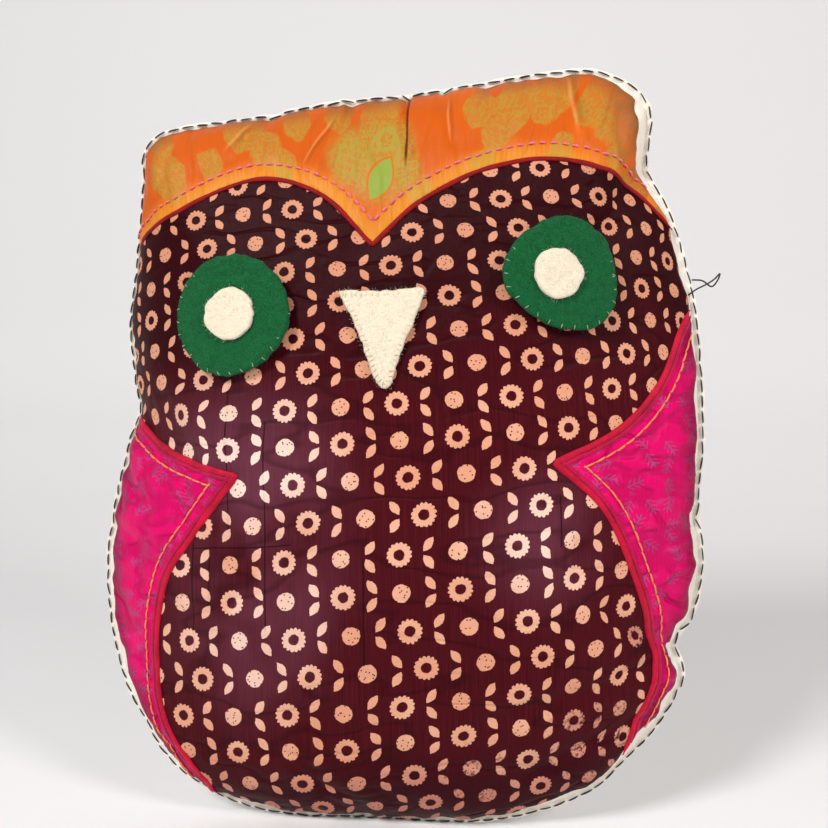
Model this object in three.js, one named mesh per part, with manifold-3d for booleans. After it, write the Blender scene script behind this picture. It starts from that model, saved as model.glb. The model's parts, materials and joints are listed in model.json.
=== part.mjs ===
// A stuffed owl cushion: two cloths sewn round their edge over a fibre filling, with
// coloured panels, piping, felt eyes and a felt beak laid on the front.
// Millimetres, +Z up, the face towards -Y, standing on a flattened foot at z = 0.
import * as THREE from 'three';
import { mergeVertices } from 'three/addons/utils/BufferGeometryUtils.js';
import Module from 'manifold-3d';

// Overall size
const WIDTH = 326;             // across the sewn cloths
const HEIGHT = 400;            // from the foot to the top of the sewn cloths
const FRONT_DEPTH = 56;        // crown of the filling in front of the seam
const BACK_DEPTH = 44;         // crown of the filling behind the seam

// Cloths, felt and threads
const CLOTH = 1.0;             // base cloth and back cloth
const SILK = 0.8;              // coloured panels
const FELT = 3.2;
const PUPIL_FELT = 2.6;
const PIPING_RADIUS = 1.4;
const THREAD_RADIUS = 0.65;
const GAP = 0.4;               // clearance between any two pieces
const CORD_GAP = 0.8;          // clearance under a round cord on the curved face

// Seams and margins
const SEAM_INSET = 4;          // from the cloths' edge to where the filling ends
const STITCH_INSET = 2;        // from the cloths' edge to the black edge stitch
const MARGIN = 5;              // cream margin between the seam and the panels
const BROW_STITCH_INSET = 9;   // from the forehead's lower edge to its stitch
const WING_STITCH_INSET = 8;   // from a wing's inner edge to its stitch
const FOOT_SINK = 15;          // how much of the round bottom is pressed flat

// Eyes and beak
const LEFT_EYE = { width: 62, height: 64, point: 0, pupil: 26, place: [-0.48, 0.7] };
const RIGHT_EYE = { width: 61, height: 59, point: 5, pupil: 27, place: [0.51, 0.75] };
const BEAK = { width: 45, height: 47, tip: 8, place: [0, 0.68] };
const RIM_STITCH_INSET = 2.6;  // from a felt edge to its whip stitch
const TAIL_LENGTH = 9;         // loose end of the edge stitch
const TAIL_DROP = 5;           // how far its end hangs down

// Fineness of the cushion's faces
const SPOKES = 54;
const RINGS = [0.2, 0.38, 0.54, 0.68, 0.79, 0.88, 0.95, 1];
const PANEL_CORD_STEP = 7;

// Places on the front are shares of half the width and of the height, which is
// counted from the bottom as it was before the foot was pressed flat.
const CENTRE_SHARE = [0, 0.49];
const TAIL_SHARE = [0.95, 0.74];

// Edge of the sewn cloths, from the lowest point round by the right side
const EDGE_SHARES = [
  [-0.1, 0], [0.3, 0.02], [0.6, 0.08], [0.85, 0.18], [0.98, 0.36], [1, 0.52], [0.97, 0.68],
  [0.88, 0.83], [0.8, 0.95], [0.7, 1], [0.3, 0.99], [-0.3, 0.965], [-0.7, 0.945], [-0.84, 0.92],
  [-0.87, 0.86], [-0.88, 0.74], [-0.9, 0.6], [-0.97, 0.47], [-1, 0.36], [-0.95, 0.24],
  [-0.8, 0.12], [-0.5, 0.03],
];

// Lower edge of the forehead, left to right, with the V between the eyes
const BROW_LEFT = [[-1, 0.74], [-0.75, 0.82], [-0.4, 0.86], [-0.2, 0.84], [-0.04, 0.78]];
const BROW_RIGHT = [[-0.04, 0.78], [0.12, 0.83], [0.4, 0.88], [0.62, 0.87], [0.85, 0.8], [1, 0.71]];

// Inner edge of each wing, from the top outside to the tip and on to the bottom
const WING_LEFT_UPPER = [[-1.06, 0.6], [-0.8, 0.54], [-0.46, 0.51]];
const WING_LEFT_LOWER = [[-0.46, 0.51], [-0.65, 0.41], [-0.75, 0.3], [-0.74, 0.2], [-0.58, 0.06]];
const WING_RIGHT_UPPER = [[1, 0.77], [0.85, 0.63], [0.7, 0.57], [0.5, 0.53]];
const WING_RIGHT_LOWER = [[0.5, 0.53], [0.69, 0.44], [0.8, 0.34], [0.81, 0.24], [0.66, 0.1]];

const wasm = await Module();
wasm.setup();

// ---- Flat outlines -------------------------------------------------------

function toPlace([across, up]) {
  return new THREE.Vector2(across * WIDTH / 2, up * (HEIGHT + FOOT_SINK) - FOOT_SINK);
}

function smoothLine(shares, steps) {
  return new THREE.SplineCurve(shares.map(toPlace)).getPoints(steps);
}

// Moves every point of a line sideways, to its right as it runs, with mitred corners.
function offsetLine(points, distance) {
  return points.map((point, i) => {
    const before = points[Math.max(i - 1, 0)];
    const after = points[Math.min(i + 1, points.length - 1)];
    const arrive = point.clone().sub(before);
    const leave = after.clone().sub(point);
    if (i === 0) arrive.copy(leave);
    if (i === points.length - 1) leave.copy(arrive);
    const arriveSide = new THREE.Vector2(arrive.y, -arrive.x).normalize();
    const leaveSide = new THREE.Vector2(leave.y, -leave.x).normalize();
    const mitre = arriveSide.clone().add(leaveSide).normalize();
    return point.clone().addScaledVector(mitre, distance / Math.max(mitre.dot(arriveSide), 0.3));
  });
}

function joinLines(first, second) {
  return [...first, ...second.slice(1)];
}

const centre = toPlace(CENTRE_SHARE);

// The closed edge of the cloths, evenly spaced, and the same edge drawn inwards
const clothEdge = evenEdge();
const seamEdge = insetEdge(SEAM_INSET);
const stitchEdge = insetEdge(STITCH_INSET);
const panelEdge = insetEdge(SEAM_INSET + MARGIN);

function evenEdge() {
  const flat = EDGE_SHARES.map(toPlace).map((p) => new THREE.Vector3(p.x, 0, p.y));
  const curve = new THREE.CatmullRomCurve3(flat, true, 'centripetal');
  return curve.getSpacedPoints(SPOKES).slice(0, SPOKES).map((p) => new THREE.Vector2(p.x, p.z));
}

function insetEdge(distance) {
  return clothEdge.map((point, i) => {
    const before = clothEdge[(i + SPOKES - 1) % SPOKES];
    const after = clothEdge[(i + 1) % SPOKES];
    const inwards = new THREE.Vector2(before.y - after.y, after.x - before.x).normalize();
    return point.clone().addScaledVector(inwards, distance);
  });
}

// ---- The crowned face ----------------------------------------------------

// Share of the way from the centre to the seam: 0 at the centre, 1 on the seam.
function shareAt(x, z) {
  const px = x - centre.x;
  const pz = z - centre.y;
  for (let i = 0; i < SPOKES; i += 1) {
    const a = seamEdge[i].clone().sub(centre);
    const b = seamEdge[(i + 1) % SPOKES].clone().sub(centre);
    const u = (px * b.y - pz * b.x) / a.cross(b);
    const v = (a.x * pz - a.y * px) / a.cross(b);
    if (u >= 0 && v >= 0) return u + v;
  }
  return 0;
}

function crown(share) {
  return (1 - Math.min(share, 1) ** 2.4) ** 0.62;
}

function frontHeight(x, z) {
  return FRONT_DEPTH * crown(shareAt(x, z));
}

// Length of the way out of the face for one millimetre out of the seam's plane
function slopeFactor(x, z) {
  const step = 1;
  const dx = (frontHeight(x + step, z) - frontHeight(x - step, z)) / (2 * step);
  const dz = (frontHeight(x, z + step) - frontHeight(x, z - step)) / (2 * step);
  return Math.hypot(1, dx, dz);
}

// Closed edges of one face, centre first: the crown's rings and then any flat border.
function faceLoops(borders) {
  const loops = RINGS.map((share) => ({
    height: crown(share),
    points: seamEdge.map((p) => centre.clone().lerp(p, share)),
  }));
  borders.forEach((points) => loops.push({ height: 0, points }));
  return loops;
}

// A closed solid between two faces of the same rings, side -1 in front, +1 behind.
// outer and inner give the y of a point from its crown height.
function faceSolid(side, loops, outer, inner) {
  const positions = [];
  const index = [];
  const last = loops.length - 1;
  const skins = [outer, inner];
  skins.forEach((skin) => {
    positions.push(centre.x, side * skin(1), centre.y);
    loops.forEach(({ height, points }) => {
      points.forEach((p) => positions.push(p.x, side * skin(height), p.y));
    });
  });
  const at = (skin, ring, spoke) => skin * (1 + loops.length * SPOKES) + 1 + ring * SPOKES + (spoke % SPOKES);
  const centreOf = (skin) => skin * (1 + loops.length * SPOKES);
  const facing = (skin) => (skin === 0) === (side < 0);
  const face = (a, b, c, forward) => index.push(...(forward ? [a, b, c] : [a, c, b]));
  for (let j = 0; j < SPOKES; j += 1) {
    for (let skin = 0; skin < 2; skin += 1) {
      const forward = facing(skin);
      face(centreOf(skin), at(skin, 0, j), at(skin, 0, j + 1), forward);
      for (let k = 0; k < last; k += 1) {
        face(at(skin, k, j), at(skin, k + 1, j), at(skin, k + 1, j + 1), forward);
        face(at(skin, k, j), at(skin, k + 1, j + 1), at(skin, k, j + 1), forward);
      }
    }
    face(at(0, last, j), at(1, last, j), at(1, last, j + 1), side < 0);
    face(at(0, last, j), at(1, last, j + 1), at(0, last, j + 1), side < 0);
  }
  const geometry = new THREE.BufferGeometry();
  geometry.setAttribute('position', new THREE.Float32BufferAttribute(positions, 3));
  geometry.setIndex(index);
  return geometry;
}

// ---- Cutting and joining -------------------------------------------------

function toSolid(geometry) {
  const bare = geometry.clone();
  bare.deleteAttribute('normal');
  bare.deleteAttribute('uv');
  const merged = mergeVertices(bare, 1e-4);
  return new wasm.Manifold(new wasm.Mesh({
    numProp: 3,
    vertProperties: new Float32Array(merged.attributes.position.array),
    triVerts: new Uint32Array(merged.index.array),
  }));
}

function toGeometry(solid) {
  const { vertProperties, triVerts } = solid.getMesh();
  const geometry = new THREE.BufferGeometry();
  geometry.setAttribute('position', new THREE.BufferAttribute(vertProperties, 3));
  geometry.setIndex(new THREE.BufferAttribute(triVerts, 1));
  return geometry;
}

// Everything above one height
function spaceAbove(z) {
  const size = 4 * (WIDTH + HEIGHT);
  const box = new THREE.BoxGeometry(size, size, size);
  box.translate(0, 0, z + size / 2);
  return toSolid(box);
}

// A prism along y over a flat outline in x and z
function prism(points) {
  const depth = 4 * (FRONT_DEPTH + BACK_DEPTH);
  const geometry = new THREE.ExtrudeGeometry(new THREE.Shape(points), { depth, bevelEnabled: false });
  geometry.rotateX(Math.PI / 2);
  geometry.translate(0, depth / 2, 0);
  return toSolid(geometry);
}

// ---- Filling and cloths --------------------------------------------------

const FOOT = CLOTH + GAP;      // the filling's foot lies this far above the floor

function filling() {
  const loops = faceLoops([]);
  const front = toSolid(faceSolid(-1, loops, (share) => FRONT_DEPTH * share + GAP / 8, () => 0));
  const back = toSolid(faceSolid(1, loops, (share) => BACK_DEPTH * share + GAP / 8, () => 0));
  return toGeometry(front.add(back).intersect(spaceAbove(FOOT)));
}

// One sewn cloth: crowned over the filling, flat outside the seam and under the foot.
function sewnCloth(side, depth) {
  const outside = toSolid(faceSolid(side, faceLoops([clothEdge]),
    (share) => depth * share + GAP + CLOTH, () => GAP));
  const inside = toSolid(faceSolid(side, faceLoops([]),
    (share) => depth * share + GAP * 0.99, () => -GAP));
  return toGeometry(outside.intersect(spaceAbove(0)).subtract(inside.intersect(spaceAbove(CLOTH))));
}

// ---- Coloured panels -----------------------------------------------------

const PANEL_BACK = CLOTH + 2 * GAP;          // out of the filling's face
const PANEL_FRONT = PANEL_BACK + SILK;
const PIPING_SPACE = PIPING_RADIUS + GAP;    // from the piping's line to a panel's edge

const browLine = joinLines(smoothLine(BROW_LEFT, 22), smoothLine(BROW_RIGHT, 24));
const wingLines = {
  left: joinLines(smoothLine(WING_LEFT_UPPER, 9), smoothLine(WING_LEFT_LOWER, 16)),
  right: joinLines(smoothLine(WING_RIGHT_UPPER, 11), smoothLine(WING_RIGHT_LOWER, 16)),
};

// The whole coloured layer, before it is parted into panels
function colourLayer() {
  const share = 1 - MARGIN / (WIDTH / 2);
  const loops = faceLoops([]).slice(0, -1);
  loops.push({ height: crown(share), points: panelEdge });
  const layer = toSolid(faceSolid(-1, loops,
    (height) => FRONT_DEPTH * height + PANEL_FRONT, (height) => FRONT_DEPTH * height + PANEL_BACK));
  return layer.intersect(spaceAbove(CLOTH + GAP));
}

// Region above the brow line, its edge moved up by space
function foreheadRegion(space) {
  const line = offsetLine(browLine, -space);
  const top = 2 * HEIGHT;
  const left = new THREE.Vector2(-WIDTH, line[0].y);
  const right = new THREE.Vector2(WIDTH, line[line.length - 1].y);
  return prism([left, ...line, right, new THREE.Vector2(WIDTH, top), new THREE.Vector2(-WIDTH, top)]);
}

// Region outside a wing's line, its edge moved outwards by space
function wingRegion(side, space) {
  const outwards = side === 'left' ? 1 : -1;
  const line = offsetLine(wingLines[side], outwards * space);
  const far = -outwards * WIDTH;
  const first = line[0];
  const last = line[line.length - 1];
  return prism([...line, new THREE.Vector2(last.x, -HEIGHT), new THREE.Vector2(far, -HEIGHT),
    new THREE.Vector2(far, first.y)]);
}

function foreheadPanel() {
  return toGeometry(colourLayer().intersect(foreheadRegion(PIPING_SPACE)));
}

function wingPanel(side) {
  const wing = colourLayer().intersect(wingRegion(side, PIPING_SPACE));
  return toGeometry(wing.subtract(foreheadRegion(-PIPING_SPACE)));
}

function bodyPanel() {
  return toGeometry(colourLayer()
    .subtract(foreheadRegion(-PIPING_SPACE))
    .subtract(wingRegion('left', -PIPING_SPACE))
    .subtract(wingRegion('right', -PIPING_SPACE)));
}

// ---- Piping and threads --------------------------------------------------

class PlacedCurve extends THREE.Curve {
  constructor(points) {
    super();
    this.points = points;
  }

  getPoint(t, target = new THREE.Vector3()) {
    const place = t * (this.points.length - 1);
    const i = Math.min(Math.floor(place), this.points.length - 2);
    return target.lerpVectors(this.points[i], this.points[i + 1], place - i);
  }
}

function tube(points, radius, sides) {
  const section = new THREE.Shape();
  for (let i = 0; i < sides; i += 1) {
    const angle = (2 * Math.PI * (i + 0.5)) / sides;
    const [x, y] = [radius * Math.cos(angle), radius * Math.sin(angle)];
    if (i === 0) section.moveTo(x, y);
    else section.lineTo(x, y);
  }
  return new THREE.ExtrudeGeometry(section, {
    steps: points.length - 1, bevelEnabled: false, extrudePath: new PlacedCurve(points),
  });
}

const CORNER_COSINE = 0.8;     // a turn sharper than this is a corner, and stays one

// Parts a flat line where it turns sharply
function splitAtCorners(line) {
  const pieces = [[line[0]]];
  for (let i = 1; i < line.length; i += 1) {
    pieces[pieces.length - 1].push(line[i]);
    if (i === line.length - 1) break;
    const arrive = line[i].clone().sub(line[i - 1]).normalize();
    const leave = line[i + 1].clone().sub(line[i]).normalize();
    if (arrive.dot(leave) < CORNER_COSINE) pieces.push([line[i]]);
  }
  return pieces;
}

// Evenly spaced places along a flat line without corners
function evenRun(line, spacing) {
  const lengths = [0];
  for (let i = 1; i < line.length; i += 1) lengths.push(lengths[i - 1] + line[i].distanceTo(line[i - 1]));
  const total = lengths[lengths.length - 1];
  const count = Math.max(1, Math.round(total / spacing));
  const places = [];
  for (let i = 0, segment = 1; i <= count; i += 1) {
    const along = Math.min(total, (i * total) / count);
    while (segment < line.length - 1 && lengths[segment] < along) segment += 1;
    const part = (along - lengths[segment - 1]) / (lengths[segment] - lengths[segment - 1]);
    places.push(line[segment - 1].clone().lerp(line[segment], part));
  }
  return places;
}

function evenPlaces(line, spacing) {
  return splitAtCorners(line).map((run) => evenRun(run, spacing)).reduce(joinLines);
}

const PANEL_REACH = 1 - (MARGIN + 2 * PIPING_RADIUS) / (WIDTH / 2);

// A round cord lying on the front face, over a layer that ends at height under
function cordOnFace(line, radius, under, sides) {
  const lowest = FOOT + 2 * radius;
  const within = evenPlaces(line, PANEL_CORD_STEP)
    .filter((p) => shareAt(p.x, p.y) < PANEL_REACH && p.y > lowest);
  const points = within.map((p) => {
    const rise = (radius + CORD_GAP) * slopeFactor(p.x, p.y);
    return new THREE.Vector3(p.x, -(frontHeight(p.x, p.y) + under + rise), p.y);
  });
  return tube(points, radius, sides);
}

function piping(line) {
  return cordOnFace(line, PIPING_RADIUS, CLOTH + GAP, 6);
}

function panelStitch(line) {
  return cordOnFace(line, THREAD_RADIUS, PANEL_FRONT, 5);
}

const EDGE_THREAD_Y = -(GAP + CLOTH + GAP + THREAD_RADIUS);

// The black stitch lies on the flat border and is open at the foot, where it turns under.
function edgeStitch() {
  const clear = THREAD_RADIUS + GAP;
  const last = stitchEdge.findIndex((p, i) => p.y > clear && stitchEdge[(i + 1) % SPOKES].y <= clear);
  const ordered = [...stitchEdge.slice(last + 1), ...stitchEdge.slice(0, last + 1)]
    .filter((p) => p.y > clear);
  return tube(ordered.map((p) => new THREE.Vector3(p.x, EDGE_THREAD_Y, p.y)), THREAD_RADIUS, 5);
}

// The loose end of the black thread, standing out from the edge at the right side
function threadTail() {
  const place = toPlace(TAIL_SHARE);
  const distances = stitchEdge.map((p) => p.distanceTo(place));
  const nearest = distances.indexOf(Math.min(...distances));
  const root = stitchEdge[nearest];
  const outwards = clothEdge[nearest].clone().sub(root).normalize();
  const clear = 2 * THREAD_RADIUS + GAP;
  const points = [0, 0.35, 0.7, 1].map((share) => {
    const end = root.clone().addScaledVector(outwards, clear + TAIL_LENGTH * share);
    return new THREE.Vector3(end.x, EDGE_THREAD_Y, end.y - TAIL_DROP * share * share);
  });
  return tube(points, THREAD_RADIUS, 6);
}

// ---- Felt eyes and beak --------------------------------------------------

function eyeOutline({ width, height, point }, inset) {
  const points = [];
  for (let i = 0; i < 28; i += 1) {
    const angle = (2 * Math.PI * i) / 28;
    const lean = point * Math.max(0, Math.cos(angle + 0.9)) ** 4;
    points.push(new THREE.Vector2(
      (width / 2 - inset + lean) * Math.cos(angle),
      (height / 2 - inset + lean) * Math.sin(angle),
    ));
  }
  return points;
}

function beakOutline(inset) {
  const [w, h, t] = [BEAK.width / 2 - inset, BEAK.height / 2 - inset, BEAK.tip / 2 - inset / 3];
  return [
    new THREE.Vector2(-w, h), new THREE.Vector2(-w + 3, h - 6), new THREE.Vector2(-t, -h + 2),
    new THREE.Vector2(0, -h), new THREE.Vector2(t, -h + 2), new THREE.Vector2(w - 3, h - 6),
    new THREE.Vector2(w, h),
  ];
}

function feltPiece(outline, thickness, lift) {
  const geometry = new THREE.ExtrudeGeometry(new THREE.Shape(outline), { depth: thickness, bevelEnabled: false });
  geometry.translate(0, 0, lift);
  return geometry;
}

function rimStitch(outline, lift) {
  const shrunk = [...outline, outline[0].clone().lerp(outline[outline.length - 1], 0.2)];
  const height = lift + GAP + THREAD_RADIUS;
  return tube(shrunk.map((p) => new THREE.Vector3(p.x, p.y, height)), THREAD_RADIUS, 4);
}

// A group lying on the body panel, its own +Z out of the face there
function tangentGroup({ x, y: z }) {
  const step = 12;
  const across = new THREE.Vector3(2 * step, frontHeight(x - step, z) - frontHeight(x + step, z), 0);
  const up = new THREE.Vector3(0, frontHeight(x, z - step) - frontHeight(x, z + step), 2 * step);
  const out = across.clone().cross(up).normalize();
  const side = across.normalize();
  const top = out.clone().cross(side);
  const holder = new THREE.Group();
  holder.quaternion.setFromRotationMatrix(new THREE.Matrix4().makeBasis(side, top, out));
  const lift = PANEL_FRONT + GAP;
  holder.position.set(x, -(frontHeight(x, z) + lift * slopeFactor(x, z)), z);
  return holder;
}

// ---- The finished cushion ------------------------------------------------

const finishes = {
  filling: { color: 0xf2efe8, roughness: 0.95 },
  cream: { color: 0xefe6da, roughness: 0.9 },
  maroon: { color: 0x4a1622, roughness: 0.6 },
  orange: { color: 0xe87020, roughness: 0.5 },
  crimson: { color: 0xb01030, roughness: 0.55 },
  magenta: { color: 0xe0107a, roughness: 0.5 },
  green: { color: 0x1a6b3c, roughness: 0.95 },
  felt: { color: 0xf5ecd8, roughness: 0.95 },
  black: { color: 0x1a1a1a, roughness: 0.7 },
  pink: { color: 0xe06a80, roughness: 0.7 },
  amber: { color: 0xf08a50, roughness: 0.7 },
  pale: { color: 0xd8dccc, roughness: 0.7 },
};

function makePiece(name, geometry, finish) {
  const material = new THREE.MeshStandardMaterial({ ...finishes[finish], metalness: 0 });
  const piece = new THREE.Mesh(geometry, material);
  piece.name = name;
  return piece;
}

function makeEye(name, eye) {
  const holder = tangentGroup(toPlace(eye.place));
  const pupil = { width: eye.pupil, height: eye.pupil, point: 0 };
  holder.add(
    makePiece(`${name}_felt`, feltPiece(eyeOutline(eye, 0), FELT, 0), 'green'),
    makePiece(`${name}_pupil`, feltPiece(eyeOutline(pupil, 0), PUPIL_FELT, FELT + GAP), 'felt'),
    makePiece(`${name}_stitch`, rimStitch(eyeOutline(eye, RIM_STITCH_INSET), FELT), 'pale'),
  );
  return holder;
}

function makeBeak() {
  const holder = tangentGroup(toPlace(BEAK.place));
  holder.add(
    makePiece('beak_felt', feltPiece(beakOutline(0), FELT, 0), 'felt'),
    makePiece('beak_stitch', rimStitch(beakOutline(RIM_STITCH_INSET), FELT), 'felt'),
  );
  return holder;
}

const cushion = new THREE.Group();
cushion.add(
  makePiece('stuffing', filling(), 'filling'),
  makePiece('front_base_cloth', sewnCloth(-1, FRONT_DEPTH), 'cream'),
  makePiece('back_cloth', sewnCloth(1, BACK_DEPTH), 'cream'),
  makePiece('body_panel', bodyPanel(), 'maroon'),
  makePiece('forehead_panel', foreheadPanel(), 'orange'),
  makePiece('wing_left_panel', wingPanel('left'), 'magenta'),
  makePiece('wing_right_panel', wingPanel('right'), 'magenta'),
  makePiece('forehead_piping', piping(browLine), 'crimson'),
  makePiece('wing_left_piping', piping(wingLines.left), 'crimson'),
  makePiece('wing_right_piping', piping(wingLines.right), 'crimson'),
  makePiece('forehead_stitch', panelStitch(offsetLine(browLine, -BROW_STITCH_INSET)), 'pink'),
  makePiece('wing_left_stitch', panelStitch(offsetLine(wingLines.left, WING_STITCH_INSET)), 'amber'),
  makePiece('wing_right_stitch', panelStitch(offsetLine(wingLines.right, -WING_STITCH_INSET)), 'amber'),
  makePiece('edge_stitch', edgeStitch(), 'black'),
  makePiece('thread_tail', threadTail(), 'black'),
  makeEye('eye_left', LEFT_EYE),
  makeEye('eye_right', RIGHT_EYE),
  makeBeak(),
);

// The origin is under the middle of the cushion's box, on the floor.
const middle = new THREE.Box3().setFromObject(cushion).getCenter(new THREE.Vector3());
cushion.position.set(-middle.x, -middle.y, 0);

export default cushion;
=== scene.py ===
# A stuffed owl cushion: two sewn cloths over fibre, silk panels with piping and hand
# stitches, felt eyes and a felt beak. Metres, +Z up, the face towards -Y.
import json
import math

import bpy
import numpy as np
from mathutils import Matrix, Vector
from mathutils.geometry import delaunay_2d_cdt

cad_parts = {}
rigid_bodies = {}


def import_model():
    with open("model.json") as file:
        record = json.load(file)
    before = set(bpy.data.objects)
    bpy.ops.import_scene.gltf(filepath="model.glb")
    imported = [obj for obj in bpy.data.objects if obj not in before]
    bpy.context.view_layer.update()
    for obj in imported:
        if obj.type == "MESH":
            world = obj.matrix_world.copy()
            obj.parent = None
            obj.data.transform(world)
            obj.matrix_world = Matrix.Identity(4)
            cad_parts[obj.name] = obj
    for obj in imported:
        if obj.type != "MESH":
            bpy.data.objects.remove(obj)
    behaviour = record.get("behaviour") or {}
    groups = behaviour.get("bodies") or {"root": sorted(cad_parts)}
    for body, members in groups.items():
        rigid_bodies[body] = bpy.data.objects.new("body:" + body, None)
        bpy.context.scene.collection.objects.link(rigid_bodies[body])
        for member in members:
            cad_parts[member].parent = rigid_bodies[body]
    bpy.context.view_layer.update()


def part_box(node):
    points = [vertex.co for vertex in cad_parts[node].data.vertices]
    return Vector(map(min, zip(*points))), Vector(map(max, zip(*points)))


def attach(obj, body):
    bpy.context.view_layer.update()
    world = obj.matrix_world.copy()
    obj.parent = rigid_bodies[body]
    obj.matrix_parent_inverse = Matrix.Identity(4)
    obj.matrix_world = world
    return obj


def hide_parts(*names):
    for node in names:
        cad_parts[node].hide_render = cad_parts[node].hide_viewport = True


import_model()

MM = 0.001

# ---- Sizes ---------------------------------------------------------------

FRONT_LOW, FRONT_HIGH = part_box("front_base_cloth")
BACK_LOW, BACK_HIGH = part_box("back_cloth")
HALF_WIDTH = (FRONT_HIGH[0] - FRONT_LOW[0]) / 2
MID_X = (FRONT_HIGH[0] + FRONT_LOW[0]) / 2
SEAM_Y = (FRONT_HIGH[1] + BACK_LOW[1]) / 2
TOP = FRONT_HIGH[2]
FOOT_SINK = 15 * MM              # how far below the floor the height is counted from
# Height of the two crowns over the seam, less a little room for the puckers
FRONT_DEPTH = SEAM_Y - FRONT_LOW[1] - 1.5 * MM
BACK_DEPTH = BACK_HIGH[1] - SEAM_Y - 1.0 * MM

BORDER = 3.0 * MM                # flat border of the cloths outside the seam
EDGE_STITCH_OUT = 2.2 * MM       # from the seam out to the black stitch
CLOTH_THICKNESS = 0.7 * MM
SILK_THICKNESS = 0.5 * MM
PANEL_LIFT = 1.3 * MM            # panels over the base cloth
PANEL_SPACING = 2.0 * MM         # between the points of the panels' triangles
PIPING_STEP = 1.6 * MM           # between the rings of a roll of piping
FELT_STEP = 1.3 * MM             # between the points of a felt piece's edge
EDGE_STITCH_LIFT = 1.35 * MM     # black stitch off the seam, on each side
THREAD_RADIUS = 0.55 * MM

# Places on the front are shares of half the width and of the height, counted from
# the bottom as it was before the foot was pressed flat.
CENTRE_SHARE = (0.0, 0.489)

EDGE_SHARES = [
    (-0.13, 0.035), (0.24, 0.038), (0.42, 0.052), (0.64, 0.09), (0.775, 0.142),
    (0.87, 0.19), (0.93, 0.25), (0.93, 0.292), (0.965, 0.325), (0.992, 0.385),
    (0.98, 0.48), (0.985, 0.555), (0.97, 0.655), (0.94, 0.735), (0.88, 0.815),
    (0.815, 0.88), (0.795, 0.935), (0.765, 0.968), (0.71, 0.988), (0.62, 1.0), (0.46, 0.998),
    (0.3, 0.99), (0.08, 0.979), (-0.22, 0.968), (-0.45, 0.955), (-0.6, 0.948),
    (-0.72, 0.942), (-0.79, 0.934), (-0.838, 0.912), (-0.848, 0.88), (-0.862, 0.83),
    (-0.885, 0.76), (-0.91, 0.69), (-0.903, 0.61), (-0.9, 0.572), (-0.93, 0.535),
    (-0.975, 0.46), (-1.0, 0.39), (-0.99, 0.305), (-0.95, 0.232), (-0.88, 0.17),
    (-0.765, 0.105), (-0.61, 0.062), (-0.43, 0.04),
]
CORNERS = [(-0.66, 0.072), (0.72, 0.11), (0.775, 0.96), (-0.825, 0.92)]

# Lower edge of the forehead, left to right, with the V between the eyes
BROW_LEFT = [(-1.05, 0.72), (-0.75, 0.81), (-0.4, 0.86), (-0.2, 0.84), (-0.04, 0.78)]
BROW_RIGHT = [(-0.04, 0.78), (0.1, 0.83), (0.3, 0.87), (0.48, 0.88), (0.7, 0.86), (0.86, 0.8),
              (1.05, 0.7)]

# Inner edge of each wing, from the top outside to the tip and on to the bottom
WING_LEFT_UPPER = [(-1.1, 0.64), (-0.86, 0.56), (-0.7, 0.53), (-0.44, 0.51)]
WING_LEFT_LOWER = [(-0.44, 0.51), (-0.59, 0.44), (-0.72, 0.36), (-0.76, 0.27), (-0.74, 0.19),
                   (-0.56, 0.05)]
WING_RIGHT_UPPER = [(1.02, 0.76), (0.92, 0.7), (0.82, 0.62), (0.7, 0.57), (0.5, 0.53)]
WING_RIGHT_LOWER = [(0.5, 0.53), (0.63, 0.48), (0.74, 0.4), (0.81, 0.32), (0.82, 0.26), (0.75, 0.17),
                    (0.68, 0.1)]


def to_place(shares):
    """Shares across and up as places in x and z."""
    across, up = np.asarray(shares, float).T
    return np.stack([MID_X + across * HALF_WIDTH, up * (TOP + FOOT_SINK) - FOOT_SINK], axis=1)


CENTRE = to_place([CENTRE_SHARE])[0]


# ---- Curves in the plane -------------------------------------------------

def smooth_line(points, closed=False, steps=14):
    """A centripetal Catmull-Rom curve through the points."""
    points = np.asarray(points, float)
    if closed:
        points = np.vstack([points[-1:], points, points[:2]])
    else:
        points = np.vstack([2 * points[0] - points[1], points, 2 * points[-1] - points[-2]])
    curve = []
    for p0, p1, p2, p3 in zip(points, points[1:], points[2:], points[3:]):
        knots = np.cumsum([0] + [np.linalg.norm(b - a) ** 0.5 for a, b in ((p0, p1), (p1, p2), (p2, p3))])
        t = np.linspace(knots[1], knots[2], steps, endpoint=False)[:, None]

        def blend(a, b, start, end):
            return ((end - t) * a + (t - start) * b) / (end - start)

        a1 = blend(p0, p1, knots[0], knots[1])
        a2 = blend(p1, p2, knots[1], knots[2])
        a3 = blend(p2, p3, knots[2], knots[3])
        b1 = blend(a1, a2, knots[0], knots[2])
        b2 = blend(a2, a3, knots[1], knots[3])
        curve.append(blend(b1, b2, knots[1], knots[2]))
    curve = np.vstack(curve)
    return curve if closed else np.vstack([curve, points[-2:-1]])


def even_line(points, spacing=None, count=None, closed=False):
    """The same line with evenly spaced points."""
    points = np.asarray(points, float)
    if closed:
        points = np.vstack([points, points[:1]])
    along = np.concatenate([[0], np.cumsum(np.linalg.norm(np.diff(points, axis=0), axis=1))])
    if count is None:
        count = max(2, int(round(along[-1] / spacing)) + 1)
    places = np.linspace(0, along[-1], count)
    line = np.stack([np.interp(places, along, points[:, k]) for k in range(points.shape[1])], axis=1)
    return line[:-1] if closed else line


def line_directions(points, closed=False):
    """Unit directions along a line."""
    if closed:
        steps = np.roll(points, -1, axis=0) - np.roll(points, 1, axis=0)
    else:
        steps = np.gradient(points, axis=0)
    return steps / np.maximum(np.linalg.norm(steps, axis=1, keepdims=True), 1e-12)


def right_of(points, closed=False):
    """Unit directions in the plane to the right of a line as it runs."""
    along = line_directions(points, closed)
    return np.stack([along[:, 1], -along[:, 0]], axis=1)


def shifted_line(points, distance, closed=False):
    """A line in the plane moved to its right as it runs."""
    return points + distance * right_of(points, closed)


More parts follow.
